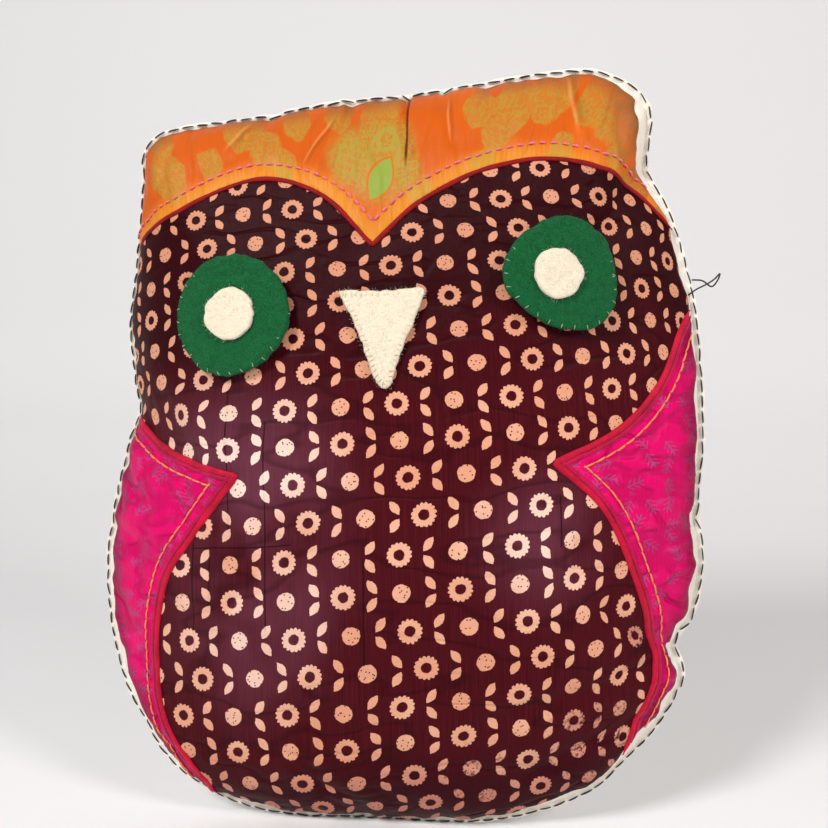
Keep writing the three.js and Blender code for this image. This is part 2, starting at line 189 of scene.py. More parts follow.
def inside(points, polygon):
    """Which points lie in a closed polygon."""
    result = np.zeros(len(points), bool)
    following = np.roll(polygon, -1, axis=0)
    for (ax, ay), (bx, by) in zip(polygon, following):
        crosses = (ay > points[:, 1]) != (by > points[:, 1])
        if by != ay:
            reach = ax + (points[:, 1] - ay) * (bx - ax) / (by - ay)
            result ^= crosses & (points[:, 0] < reach)
    return result


def nearest_on_line(points, line):
    """Distance from each point to the nearest point of a line, and that point's number."""
    nearest = np.full(len(points), np.inf)
    number = np.zeros(len(points), int)
    for start in range(0, len(line), 64):
        part = line[start:start + 64]
        gaps = np.linalg.norm(points[:, None] - part[None], axis=2)
        best = gaps.argmin(axis=1)
        gap = gaps[np.arange(len(points)), best]
        closer = gap < nearest
        nearest[closer], number[closer] = gap[closer], best[closer] + start
    return nearest, number


def distance_to_line(points, line):
    return nearest_on_line(points, line)[0]


def soft_step(low, high, values):
    t = np.clip((values - low) / (high - low), 0, 1)
    return t * t * (3 - 2 * t)


def ripple(places, wavelength, seed):
    """Smooth noise from -1 to 1 along a line, the same on each run."""
    values = np.random.default_rng(seed).uniform(-1, 1, 512)
    position = places / wavelength + 512
    left = np.floor(position).astype(int)
    share = soft_step(0, 1, position - left)
    return values[left % 512] * (1 - share) + values[(left + 1) % 512] * share


# ---- The sewn form -------------------------------------------------------

EDGE = even_line(smooth_line(to_place(EDGE_SHARES), closed=True), count=721, closed=True)
SEAM = shifted_line(EDGE, -BORDER, closed=True)


def polar(points):
    offset = np.asarray(points) - CENTRE
    return np.arctan2(offset[:, 1], offset[:, 0]), np.hypot(offset[:, 0], offset[:, 1])


SEAM_ANGLES, SEAM_RADII = polar(SEAM)
_order = np.argsort(SEAM_ANGLES)
SEAM_ANGLES, SEAM_RADII = SEAM_ANGLES[_order], SEAM_RADII[_order]


def seam_radius(angles):
    return np.interp(angles, SEAM_ANGLES, SEAM_RADII, period=2 * math.pi)


def crown(share):
    """Height of the full form over the seam, from 1 at the centre to 0 at the seam."""
    return (1 - np.minimum(share, 1) ** 2.4) ** 0.6


# The cloth was cut larger than the filled form, by the length of its crowned profile.
_face = 1 - np.linspace(1, 0, 400) ** 2
_mean_radius, _mean_depth = 0.172, 0.05
_steps = np.hypot(_mean_radius * np.diff(_face), _mean_depth * np.diff(crown(_face)))
_cut = np.concatenate([[0], np.cumsum(_steps)])
CUT_SCALE = _cut[-1] / _mean_radius
_cut = _cut / _cut[-1]


def cut_place(places):
    """Where on the flat cut cloth a place of the finished front lies."""
    angles, radii = polar(places)
    share = radii / seam_radius(angles)
    scale = CUT_SCALE * np.interp(share, _face, _cut) / np.maximum(share, 1e-9)
    return CENTRE + (np.asarray(places) - CENTRE) * scale[:, None]


def plain_form(cut, side):
    """The full form without wrinkles, at places of the cut cloth. side -1 is the front."""
    angles, radii = polar(cut)
    share = np.interp(radii / (CUT_SCALE * seam_radius(angles)), _cut, _face)
    scale = share * seam_radius(angles) / np.maximum(radii, 1e-9)
    flat = CENTRE + (cut - CENTRE) * scale[:, None]
    depth = FRONT_DEPTH if side < 0 else BACK_DEPTH
    return np.stack([flat[:, 0], SEAM_Y + side * depth * crown(share), flat[:, 1]], axis=1)


# ---- A grid of squares over the cut cloth --------------------------------

ACROSS, UP = 68, 84
CUT_EDGE = CENTRE + (SEAM - CENTRE) * CUT_SCALE
EDGE_STEP = np.linalg.norm(CUT_EDGE[1] - CUT_EDGE[0])


def cut_sides():
    """The four sides of the cut: bottom and top left to right, left and right upwards."""
    marks = [int(np.argmin(np.linalg.norm(EDGE - corner, axis=1))) for corner in to_place(CORNERS)]

    def run(start, end, count):
        picked = np.arange(start, end + 1 if end > start else end + len(CUT_EDGE) + 1)
        return even_line(CUT_EDGE[picked % len(CUT_EDGE)], count=count + 1)

    bottom = run(marks[0], marks[1], ACROSS)
    right = run(marks[1], marks[2], UP)
    top = run(marks[2], marks[3], ACROSS)[::-1]
    left = run(marks[3], marks[0], UP)[::-1]
    return bottom, right, top, left


BOTTOM, RIGHT, TOP_SIDE, LEFT = cut_sides()


def pick(side, share):
    """Points of a side at shares from 0 to 1."""
    places = np.linspace(0, 1, len(side))
    return np.stack([np.interp(share, places, side[:, k]) for k in range(2)], axis=-1)


def cut_from_grid(a, b):
    """Place on the cut cloth at grid shares a across and b up."""
    a_, b_ = a[..., None], b[..., None]
    rails = ((1 - b_) * pick(BOTTOM, a) + b_ * pick(TOP_SIDE, a)
             + (1 - a_) * pick(LEFT, b) + a_ * pick(RIGHT, b))
    corners = ((1 - a_) * (1 - b_) * BOTTOM[0] + a_ * (1 - b_) * BOTTOM[-1]
               + (1 - a_) * b_ * TOP_SIDE[0] + a_ * b_ * TOP_SIDE[-1])
    return rails - corners


def grid_from_cut(places):
    """Grid shares of places on the cut cloth, by Newton's method."""
    low, high = CUT_EDGE.min(axis=0), CUT_EDGE.max(axis=0)
    ab = np.clip((places - low) / (high - low), 0.02, 0.98)
    step = 1e-4
    for _ in range(25):
        a, b = ab[:, 0], ab[:, 1]
        here = cut_from_grid(a, b)
        da = (cut_from_grid(a + step, b) - cut_from_grid(a - step, b)) / (2 * step)
        db = (cut_from_grid(a, b + step) - cut_from_grid(a, b - step)) / (2 * step)
        miss = places - here
        area = da[:, 0] * db[:, 1] - da[:, 1] * db[:, 0]
        area = np.where(np.abs(area) < 1e-4, 1e-4, area)
        move_a = (miss[:, 0] * db[:, 1] - miss[:, 1] * db[:, 0]) / area
        move_b = (da[:, 0] * miss[:, 1] - da[:, 1] * miss[:, 0]) / area
        ab = np.clip(ab + np.clip(np.stack([move_a, move_b], axis=1), -0.1, 0.1), 0, 1)
    return ab


GRID_A, GRID_B = np.meshgrid(np.linspace(0, 1, ACROSS + 1), np.linspace(0, 1, UP + 1))
CUT_GRID = cut_from_grid(GRID_A, GRID_B)


# ---- Filling the cushion: cloth simulation -------------------------------

def grid_quads(numbers):
    """The squares of a grid of point numbers."""
    return np.stack([numbers[:-1, :-1], numbers[:-1, 1:], numbers[1:, 1:], numbers[1:, :-1]],
                    axis=-1).reshape(-1, 4)


def band_quads(inner, outer):
    """The squares between two closed rings of point numbers."""
    return np.stack([inner, outer, np.roll(outer, -1), np.roll(inner, -1)], axis=1)


def closed_grid_mesh(front, back):
    """Points and quads of the two grids joined at their edges."""
    rows, columns = front.shape[:2]
    number = np.arange(rows * columns).reshape(rows, columns)
    back_number = number.copy()
    middle = np.arange((rows - 2) * (columns - 2)).reshape(rows - 2, columns - 2)
    back_number[1:-1, 1:-1] = middle + rows * columns
    points = np.vstack([front.reshape(-1, 3), back[1:-1, 1:-1].reshape(-1, 3)])
    faces = []
    for ids, forward in ((number, True), (back_number, False)):
        quads = grid_quads(ids)
        faces.append(quads if forward else quads[:, ::-1])
    return points, np.vstack(faces), back_number


def add_object(name, data):
    made = bpy.data.objects.new(name, data)
    bpy.context.scene.collection.objects.link(made)
    return made


def make_mesh(name, points, faces):
    mesh = bpy.data.meshes.new(name)
    mesh.from_pydata(np.asarray(points, float).tolist(), [], [list(map(int, f)) for f in faces])
    mesh.update()
    return add_object(name, mesh)


def mesh_points(mesh):
    flat = np.empty(len(mesh.vertices) * 3)
    mesh.vertices.foreach_get("co", flat)
    return flat.reshape(-1, 3)


def evaluated_points(piece):
    evaluated = piece.evaluated_get(bpy.context.evaluated_depsgraph_get())
    mesh = evaluated.to_mesh()
    points = mesh_points(mesh)
    evaluated.to_mesh_clear()
    return points


def filled_grids():
    """Front and back grids after the cut cloths are sewn together and blown up."""
    cut = CUT_GRID.reshape(-1, 2)
    shape = CUT_GRID.shape[:2] + (3,)
    plain = [plain_form(cut, side).reshape(shape) for side in (-1, 1)]
    start = []
    for side, form in zip((-1, 1), plain):
        flat = form.copy()
        flat[..., 0], flat[..., 2] = CUT_GRID[..., 0], CUT_GRID[..., 1]
        flat[..., 1] = SEAM_Y + 0.25 * (form[..., 1] - SEAM_Y)
        start.append(flat)
    points, faces, back_number = closed_grid_mesh(*start)
    bag = make_mesh("bag", points, faces)
    cloth = bag.modifiers.new("Cloth", "CLOTH").settings
    cloth.quality = 6
    cloth.mass = 0.25
    cloth.tension_stiffness = 30
    cloth.compression_stiffness = 12
    cloth.shear_stiffness = 6
    cloth.bending_stiffness = 0.15
    cloth.air_damping = 4
    cloth.use_pressure = True
    cloth.uniform_pressure_force = 5
    cloth.effector_weights.gravity = 0
    scene = bpy.context.scene
    for number in range(1, 31):
        scene.frame_set(number)
    points = evaluated_points(bag)
    scene.frame_set(1)
    bpy.data.objects.remove(bag)
    front = points[:shape[0] * shape[1]].reshape(shape)
    back = points[back_number]
    return fit_to_seam(front, back, plain)


# How much of the simulated form is kept across, in depth and up. The rest is the plain form.
SIMULATED = np.array([0.2, 0.5, 0.2])
RIM_WINDOW = 15                  # points of the rim that are averaged together


def fit_to_seam(front, back, plain):
    """The blown-up grids, brought to the size of the seam and crown and mixed with the plain form."""
    rim = np.concatenate([front[0], front[-1], front[1:-1, 0], front[1:-1, -1]])
    middle = SEAM_Y - rim[:, 1].mean()
    angles, radii = polar(rim[:, [0, 2]])
    order = np.argsort(angles)
    ratio = seam_radius(angles[order]) / radii[order]
    window = np.hanning(RIM_WINDOW) / np.hanning(RIM_WINDOW).sum()
    padded = np.concatenate([ratio[-RIM_WINDOW:], ratio, ratio[:RIM_WINDOW]])
    ratio = np.convolve(padded, window, mode="same")[RIM_WINDOW:-RIM_WINDOW]
    fitted = []
    for side, grid, depth, form in ((-1, front, FRONT_DEPTH, plain[0]), (1, back, BACK_DEPTH, plain[1])):
        places = grid[..., [0, 2]].reshape(-1, 2)
        angle, radius = polar(places)
        local = np.interp(angle, angles[order], ratio, period=2 * math.pi)
        share = np.clip(radius * local / seam_radius(angle), 0, 1) ** 1.5
        scale = ratio.mean() * (1 - share) + local * share
        places = CENTRE + (places - CENTRE) * scale[:, None]
        height = side * (grid[..., 1] + middle - SEAM_Y)
        height = height * depth / height.max()
        result = np.empty_like(grid)
        result[..., 0] = places[:, 0].reshape(grid.shape[:2])
        result[..., 2] = places[:, 1].reshape(grid.shape[:2])
        result[..., 1] = SEAM_Y + side * height
        fitted.append(form + SIMULATED * (result - form))
    return fitted


# How far the seam is drawn back (or forward, below 0), in mm, at angles round the centre in
# degrees, from the left side past the bottom, the right side and the top to the left again.
SEAM_PULLS = ((-180, 4), (-155, -4), (-130, -9), (-90, -4), (-50, -9), (-30, -7), (0, -4), (50, -2),
              (90, 0), (130, 0), (150, 3), (170, 6), (180, 4))
FOOT_SOFTNESS = 2 * MM           # how round the edge of the foot's flat is


def settle(points):
    """Draws the seam back or forward and presses the round bottom flat on the floor."""
    points = points.copy()
    angles, radii = polar(points[..., [0, 2]].reshape(-1, 2))
    share = np.clip(radii / seam_radius(angles), 0, 1.1).reshape(points.shape[:-1])
    turns, pulls = zip(*SEAM_PULLS)
    pull = np.interp(np.degrees(angles), turns, pulls).reshape(points.shape[:-1])
    points[..., 1] += MM * pull * share ** 5
    z = points[..., 2]
    points[..., 2] = 0.5 * (z + np.sqrt(z * z + FOOT_SOFTNESS ** 2))
    return points


# ---- A smooth face over a grid -------------------------------------------

def puckers(cut):
    """Small gathers near the seam and low lumps of the filling, as lifts off the face."""
    gap, number = nearest_on_line(cut, CUT_EDGE)
    along = number * EDGE_STEP
    gathers = 1.0 * ripple(along, 8 * MM, 21) + 0.7 * ripple(along, 4.6 * MM, 22)
    gathers *= 0.55 + 0.45 * ripple(along, 60 * MM, 23)
    gathers *= np.exp(-gap / (15 * MM)) * soft_step(0, 5 * MM, gap)
    turned = cut @ np.array([[0.8, -0.6], [0.6, 0.8]])
    lumps = ripple(turned[:, 0], 36 * MM, 31) * ripple(turned[:, 1], 42 * MM, 32)
    fine = ripple(turned[:, 1], 15 * MM, 33) * ripple(turned[:, 0], 19 * MM, 34)
    return MM * (1.7 * gathers + (1.6 * lumps + 0.6 * fine) * soft_step(0, 20 * MM, gap))


class Face:
    """One side of the filled cushion: a smooth surface over the cut cloth."""

    def __init__(self, grid, side, creases=()):
        self.grid = np.pad(grid, ((1, 1), (1, 1), (0, 0)), mode="reflect", reflect_type="odd")
        self.side = side
        self.creases = creases

    def sample(self, ab):
        """Bicubic place on the grid."""
        x = np.clip(ab[:, 0], 0, 1) * ACROSS
        y = np.clip(ab[:, 1], 0, 1) * UP
        i = np.minimum(x.astype(int), ACROSS - 1)
        j = np.minimum(y.astype(int), UP - 1)

        def weights(t):
            return np.stack([-0.5 * t ** 3 + t ** 2 - 0.5 * t, 1.5 * t ** 3 - 2.5 * t ** 2 + 1,
                             -1.5 * t ** 3 + 2 * t ** 2 + 0.5 * t, 0.5 * t ** 3 - 0.5 * t ** 2], axis=1)

        wx, wy = weights(x - i), weights(y - j)
        result = np.zeros((len(ab), 3))
        for row in range(4):
            for column in range(4):
                weight = wy[:, row] * wx[:, column]
                result += weight[:, None] * self.grid[j + row, i + column]
        return result

    def normal(self, ab):
        step = 0.004
        a, b = np.clip(ab[:, 0], step, 1 - step), np.clip(ab[:, 1], step, 1 - step)
        across = self.sample(np.stack([a + step, b], 1)) - self.sample(np.stack([a - step, b], 1))
        up = self.sample(np.stack([a, b + step], 1)) - self.sample(np.stack([a, b - step], 1))
        out = np.cross(across, up) * -self.side
        return out / np.maximum(np.linalg.norm(out, axis=1, keepdims=True), 1e-12)

    def at(self, cut, lift=0.0, ab=None):
        """Points over places of the cut cloth, lifted out of the face, and their normals."""
        ab = grid_from_cut(cut) if ab is None else ab
        out = self.normal(ab)
        lift = lift + puckers(cut)
        for line, depth, width in self.creases:
            lift = lift - depth * np.exp(-(distance_to_line(cut, line) / width) ** 2)
        return settle(self.sample(ab) + out * lift[:, None]), out


def crease(*shares, depth, width):
    return cut_place(even_line(smooth_line(to_place(shares)), spacing=1 * MM)), depth * MM, width * MM


# Creases of the front, as shares across and up, with their depth and half width in mm.
# A depth below 0 makes a ridge.
CREASES = [
    crease((0.042, 0.99), (0.03, 0.945), (0.064, 0.885), depth=2.8, width=1.8),
    crease((-0.166, 0.965), (-0.19, 0.911), (-0.225, 0.868), depth=-1.1, width=2.0),
    crease((-0.14, 0.965), (-0.165, 0.911), (-0.20, 0.868), depth=1.3, width=2.6),
    crease((0.15, 0.98), (0.16, 0.945), (0.19, 0.90), depth=1.5, width=2.2),
    crease((0.534, 0.985), (0.57, 0.947), (0.585, 0.90), depth=-1.2, width=1.8),
    crease((0.50, 0.985), (0.54, 0.947), (0.55, 0.90), depth=1.2, width=3.0),
    crease((-0.39, 0.955), (-0.45, 0.915), (-0.50, 0.885), depth=1.3, width=3.0),
    crease((0.28, 0.98), (0.30, 0.93), (0.27, 0.89), depth=1.0, width=4.0),
    crease((0.70, 0.96), (0.69, 0.92), (0.72, 0.86), depth=1.2, width=3.5),
    crease((-0.72, 0.91), (-0.74, 0.87), (-0.79, 0.82), depth=1.2, width=3.5),
    crease((-0.62, 0.53), (-0.63, 0.42), (-0.62, 0.33), depth=0.8, width=2.0),
    crease((-0.52, 0.62), (-0.515, 0.5), (-0.53, 0.4), depth=0.7, width=2.0),
    crease((-0.7, 0.43), (-0.5, 0.43), (-0.32, 0.437), depth=0.7, width=1.8),
    crease((0.56, 0.55), (0.57, 0.47), (0.565, 0.4), depth=0.9, width=2.4),
    crease((0.3, 0.21), (0.55, 0.24), (0.8, 0.27), depth=1.6, width=6.0),
    crease((0.45, 0.13), (0.6, 0.17), (0.78, 0.2), depth=1.4, width=5.0),
    crease((-0.92, 0.5), (-0.84, 0.47), (-0.78, 0.46), depth=2.0, width=5.0),
    crease((-0.98, 0.42), (-0.9, 0.42), (-0.82, 0.4), depth=1.5, width=4.0),
    crease((0.98, 0.45), (0.92, 0.46), (0.86, 0.49), depth=1.6, width=5.0),
    crease((0.94, 0.31), (0.9, 0.33), (0.86, 0.36), depth=1.6, width=4.0),
]
FRONT_GRID, BACK_GRID = filled_grids()
FRONT = Face(FRONT_GRID, -1, CREASES)
BACK = Face(BACK_GRID, 1)


# ---- Lines of the front, on the cut cloth --------------------------------

def cut_line(*parts):
    """A line of the front as it lies on the cut cloth. It is smooth but where its parts meet."""
    smooth = [cut_place(even_line(smooth_line(to_place(part)), spacing=1.5 * MM)) for part in parts]
    return np.vstack([smooth[0]] + [line[1:] for line in smooth[1:]])


BROW = cut_line(BROW_LEFT, BROW_RIGHT)
WING_LEFT = cut_line(WING_LEFT_UPPER, WING_LEFT_LOWER)
WING_RIGHT = cut_line(WING_RIGHT_UPPER, WING_RIGHT_LOWER)

# Cream cloth left between the seam and the silk, in mm, at angles round the centre in degrees.
MARGINS = ((-180, 3.0), (-168, 6.0), (-150, 10.5), (-118, 10.5), (-95, 5.0), (-70, 8.0), (-45, 10.0),
           (-20, 9.0), (0, 7.0), (30, 4.5), (46, 6.5), (54, 10), (58, 7.5), (64, 2.2), (90, 0.8), (126, 0.8),
           (140, 2.0), (180, 3.0))


def panel_edge():
    """Where the silk ends, a little inside the seam."""
    turns, widths = zip(*MARGINS)
    margin = MM * np.interp(np.degrees(polar(CUT_EDGE)[0]), turns, widths)
    margin *= 1 + 0.3 * ripple(np.arange(len(CUT_EDGE)) * EDGE_STEP, 12 * MM, 41)
    return CUT_EDGE - margin[:, None] * right_of(CUT_EDGE, closed=True)


PANEL_EDGE = panel_edge()


def within_panels(line, slack=0.3 * MM):
    return line[inside(line, shifted_line(PANEL_EDGE, slack, closed=True))]


PRINT_EASE = 0.46                # metres; eases the prints towards the seam


def print_place(cut):
    """Places on the printed silks. The bias of the cloth takes up a little near the seam."""
    offset = cut - CENTRE
    reach = np.linalg.norm(offset, axis=1, keepdims=True)
    return offset * (1 - (reach / PRINT_EASE) ** 2)


def block_place(cut):
    """Places on the block-printed body silk, which was laid a little askew and pulled down."""
    x, y = (cut - CENTRE).T
    across = x / (1 - 0.54 * y) + 1.6 * np.maximum(x - 0.05, 0) ** 2 + 0.37 * np.maximum(y, 0) ** 2
    up = y * (1 + np.where(y > 0, 0.75, 0.55) * y)
    return np.stack([across, up - x * (0.09 - 0.25 * y)], axis=1)


# ---- Materials -----------------------------------------------------------

def linear(code):
    """A colour given as six hexadecimal digits, as linear values."""
    parts = [int(code[k:k + 2], 16) / 255 for k in (0, 2, 4)]
    return (*[part / 12.92 if part <= 0.04045 else ((part + 0.055) / 1.055) ** 2.4 for part in parts], 1)


class Wire:
    """A shader socket that adds, multiplies and compares as a number does."""

    def __init__(self, tree, socket=None):
        self.tree, self.socket = tree, socket

    def node(self, kind, inputs=(), output=0, **settings):
        """Makes a node of any type from its settings and its inputs' values."""
        made = self.tree.nodes.new("ShaderNode" + kind)
        for key, value in settings.items():
            setattr(made, key, value)
        for key, value in dict(inputs).items():
            if isinstance(value, Wire):
                self.tree.links.new(value.socket, made.inputs[key])
            else:
                made.inputs[key].default_value = value
        return Wire(self.tree, made.outputs[output])

    def math(self, operation, first, second=0.0):
        return self.node("Math", {0: first, 1: second}, operation=operation)

    def __add__(self, other):
        return self.math("ADD", self, other)

    __radd__ = __add__

    def __mul__(self, other):
        return self.math("MULTIPLY", self, other)

    __rmul__ = __mul__

    def __sub__(self, other):
        return self.math("SUBTRACT", self, other)

    def __rsub__(self, other):
        return self.math("SUBTRACT", other, self)

    def __truediv__(self, other):
        return self.math("DIVIDE", self, other)

    def __rtruediv__(self, other):
        return self.math("DIVIDE", other, self)

    def __pow__(self, other):
        return self.math("POWER", self, other)

    def __lt__(self, other):
        return self.math("LESS_THAN", self, other)

    def __gt__(self, other):
        return self.math("GREATER_THAN", self, other)

    def __abs__(self):
        return self.math("ABSOLUTE", self)

    def floor(self):
        return self.math("FLOOR", self)

    def fraction(self):
        return self.math("FRACT", self)

    def sine(self):
        return self.math("SINE", self)

    def top(self, other):
        return self.math("MAXIMUM", self, other)

    def step(self, low, high):
        """0 below low, 1 above high, smooth between; the other way round if high is below low."""
        return self.node("MapRange", {0: self, 1: low, 2: high}, interpolation_type="SMOOTHSTEP")

    def inked(self):
        """1 where a distance is above 0, with the ink's soft edge."""
        return self.step(-INK_SOFTNESS, INK_SOFTNESS)

    def stripes(self, low, high):
        """Lines halfway between the whole values of this number."""
        return abs(self.fraction() - 0.5).step(low, high)

    def mix(self, first, second, blend="MIX"):
        """Two colours mixed by this share."""
        return self.node("Mix", {0: self, 6: first, 7: second}, output=2, data_type="RGBA", blend_type=blend)

    def scaled(self, factors):
        return self.node("VectorMath", {0: self, 1: factors}, operation="MULTIPLY")

    def moved(self, offset):
        return self.node("VectorMath", {0: self, 1: offset}, operation="ADD")

    def parts(self):
        return [self.node("SeparateXYZ", {0: self}, output=k) for k in range(3)]

    def noise(self, size, detail=2.0, output="Fac"):
        """Noise over this place with features of the given size in metres."""
        return self.node("TexNoise", {"Vector": self, "Scale": 1 / size, "Detail": detail}, output=output)

    def cells(self, size, output="Distance", **settings):
        return self.node("TexVoronoi", {"Vector": self, "Scale": 1 / size}, output=output,
                         voronoi_dimensions="2D", **settings)

    def near(self, across, up, reach, soft):
        """1 within reach of a point of the cloth, given in mm, and 0 beyond."""
        x, y = self.parts()[:2]
        distance = ((x - across * MM) ** 2 + (y - up * MM) ** 2) ** 0.5
        return distance.step((reach + soft) * MM, (reach - soft) * MM)


def new_surface(name, **constants):
    """A material, a wire on its tree and its surface node, with constants set on the sockets."""
    material = bpy.data.materials.new(name)
    material.use_nodes = True
    surface = material.node_tree.nodes["Principled BSDF"]
    for key, value in constants.items():
        surface.inputs[key.replace("_", " ").title().replace("Ior", "IOR")].default_value = value
    return material, Wire(material.node_tree), surface


def connect(wire, surface, colour, roughness=None, relief=None, depth=0.2 * MM):
    """Feeds colour, roughness and a bump into the surface."""
    links = wire.tree.links
    links.new(colour.socket, surface.inputs["Base Color"])
    if roughness is not None:
        links.new(roughness.socket, surface.inputs["Roughness"])
    if relief is not None:
        bump = wire.node("Bump", {"Height": relief, "Distance": depth, "Strength": 1.0})
        links.new(bump.socket, surface.inputs["Normal"])


def on_cloth(wire):
    return wire.node("UVMap", uv_map="cloth")


def in_space(wire):
    return wire.node("TexCoord", output="Object")


def distance(wire, key):
    """A distance in metres that the piece carries."""
    return wire.node("Attribute", output="Fac", attribute_name=key)


def slubs(place, along, across):
    """Uneven threads of silk, long one way and thin the other."""
    return place.scaled((1 / across, 1 / along, 1)).noise(1.0, 3.0)


def silk_weave(place, length, width):
    """A silk's uneven threads, and the relief that they make with the weave under them."""
    threads = slubs(place, length, width)
    return threads, threads * 0.6 + slubs(place, 1.2 * MM, 0.28 * MM) * 0.35


# Block print of the body: rows of flowers, dots and pairs of leaves. Sizes in metres.
ROW = 18.6 * MM
PERIOD = 56.0 * MM
FIRST_FLOWER = (-19.5 * MM, 27.6 * MM)
ROW_SHIFTS = (0.0, 0.485, 0.70, 0.567)
FLOWER_RADIUS, FLOWER_HOLE, PETALS = 6.1 * MM, 2.5 * MM, 16
DOT_RADIUS = 4.4 * MM
LEAF_LENGTH, LEAF_WIDTH, LEAF_OFFSET, LEAF_TURN = 4.0 * MM, 2.1 * MM, 4.3 * MM, math.radians(34)
INK_SOFTNESS = 0.16 * MM


def jitter(place, size, reach):
    """Small uneven shifts over the cloth, up to half of reach either way."""
    return place.noise(size, 2.0, "Color").moved((-0.5, -0.5, -0.5)).scaled((reach, reach, 0))


def body_print(place):
    """How much ink of the block print lies on each point of the cloth."""
    wobble = jitter(place, 5 * MM, 1.1 * MM).moved(jitter(place, 1.3 * MM, 0.7 * MM))
    x, y = place.moved(wobble).parts()[:2]
    x, y = x - FIRST_FLOWER[0], y - FIRST_FLOWER[1]
    rows = y / ROW
    number = (rows + 0.5).floor()
    up = (rows - number) * ROW
    turn = (number / 4).fraction() * 4
    shift = sum(abs(turn - k).step(0.5, 0.4) * ROW_SHIFTS[k] for k in (1, 2, 3))
    phase = x / PERIOD - shift
    flower_x = ((phase + 0.5).fraction() - 0.5) * PERIOD
    dot_x = (phase.fraction() - 0.5) * PERIOD
    leaf_x = ((phase * 2).fraction() - 0.5) * (PERIOD / 2)
    radius = (flower_x ** 2 + up ** 2) ** 0.5
    angle = place.math("ARCTAN2", up, flower_x)
    scallop = abs((angle * (PETALS / 2)).sine()) ** 0.7
    rim = FLOWER_RADIUS * 0.83 + scallop * (FLOWER_RADIUS * 0.17)
    ragged = FLOWER_HOLE + abs((angle * PETALS).sine()) * (0.25 * MM)
    flower = (rim - radius).inked() * (radius - ragged).inked()
    round_dot = (DOT_RADIUS - (dot_x ** 2 + up ** 2) ** 0.5).inked()
    specks = place.cells(2.7 * MM).step(0.10, 0.17)
    odd = (number / 2).fraction() * 4 - 1
    lean_x = leaf_x * odd
    away = abs(up) - LEAF_OFFSET
    along = lean_x * math.sin(LEAF_TURN) + away * math.cos(LEAF_TURN)
    beside = abs(lean_x * math.cos(LEAF_TURN) - away * math.sin(LEAF_TURN))
    blade = (1 - (along / LEAF_LENGTH) ** 2) * LEAF_WIDTH - beside
    return flower.top(round_dot * specks).top(blade.inked())


def streak(place, start, end, width):
    """A soft straight line on the cloth between two places, in mm."""
    x, y = place.parts()[:2]
    length = math.dist(start, end)
    across, up = (end[0] - start[0]) / length, (end[1] - start[1]) / length
    x, y = x - start[0] * MM, y - start[1] * MM
    along = x * across + y * up
    beside = abs(x * up - y * across + (place.noise(16 * MM, 1.0) - 0.5) * (3 * MM))
    ends = along.step(-2 * MM, 3 * MM) * along.step((length + 2) * MM, (length - 5) * MM)
    return beside.step(width * MM, 0) * ends


def crinkles(place, size):
    """Valleys of soft creases, as a height."""
    return 1 - abs(place.noise(size, 2.0) - 0.5).step(0.0, 0.09)


def fold_line(place, start, end, upright):
    """A thin pressed fold, straight up or across. start and end are places in mm."""
    x, y = place.parts()[:2]
    across, along = (x, y) if upright else (y, x)
    at = start[0] if upright else start[1]
    low, high = (start[1], end[1]) if upright else (start[0], end[0])
    drift = (place.noise(30 * MM, 1.0) - 0.5) * (2.2 * MM)
    line = abs(across - at * MM + drift).step(0.45 * MM, 0.15 * MM)
    return line * along.step((low - 2) * MM, low * MM) * along.step((high + 2) * MM, high * MM)


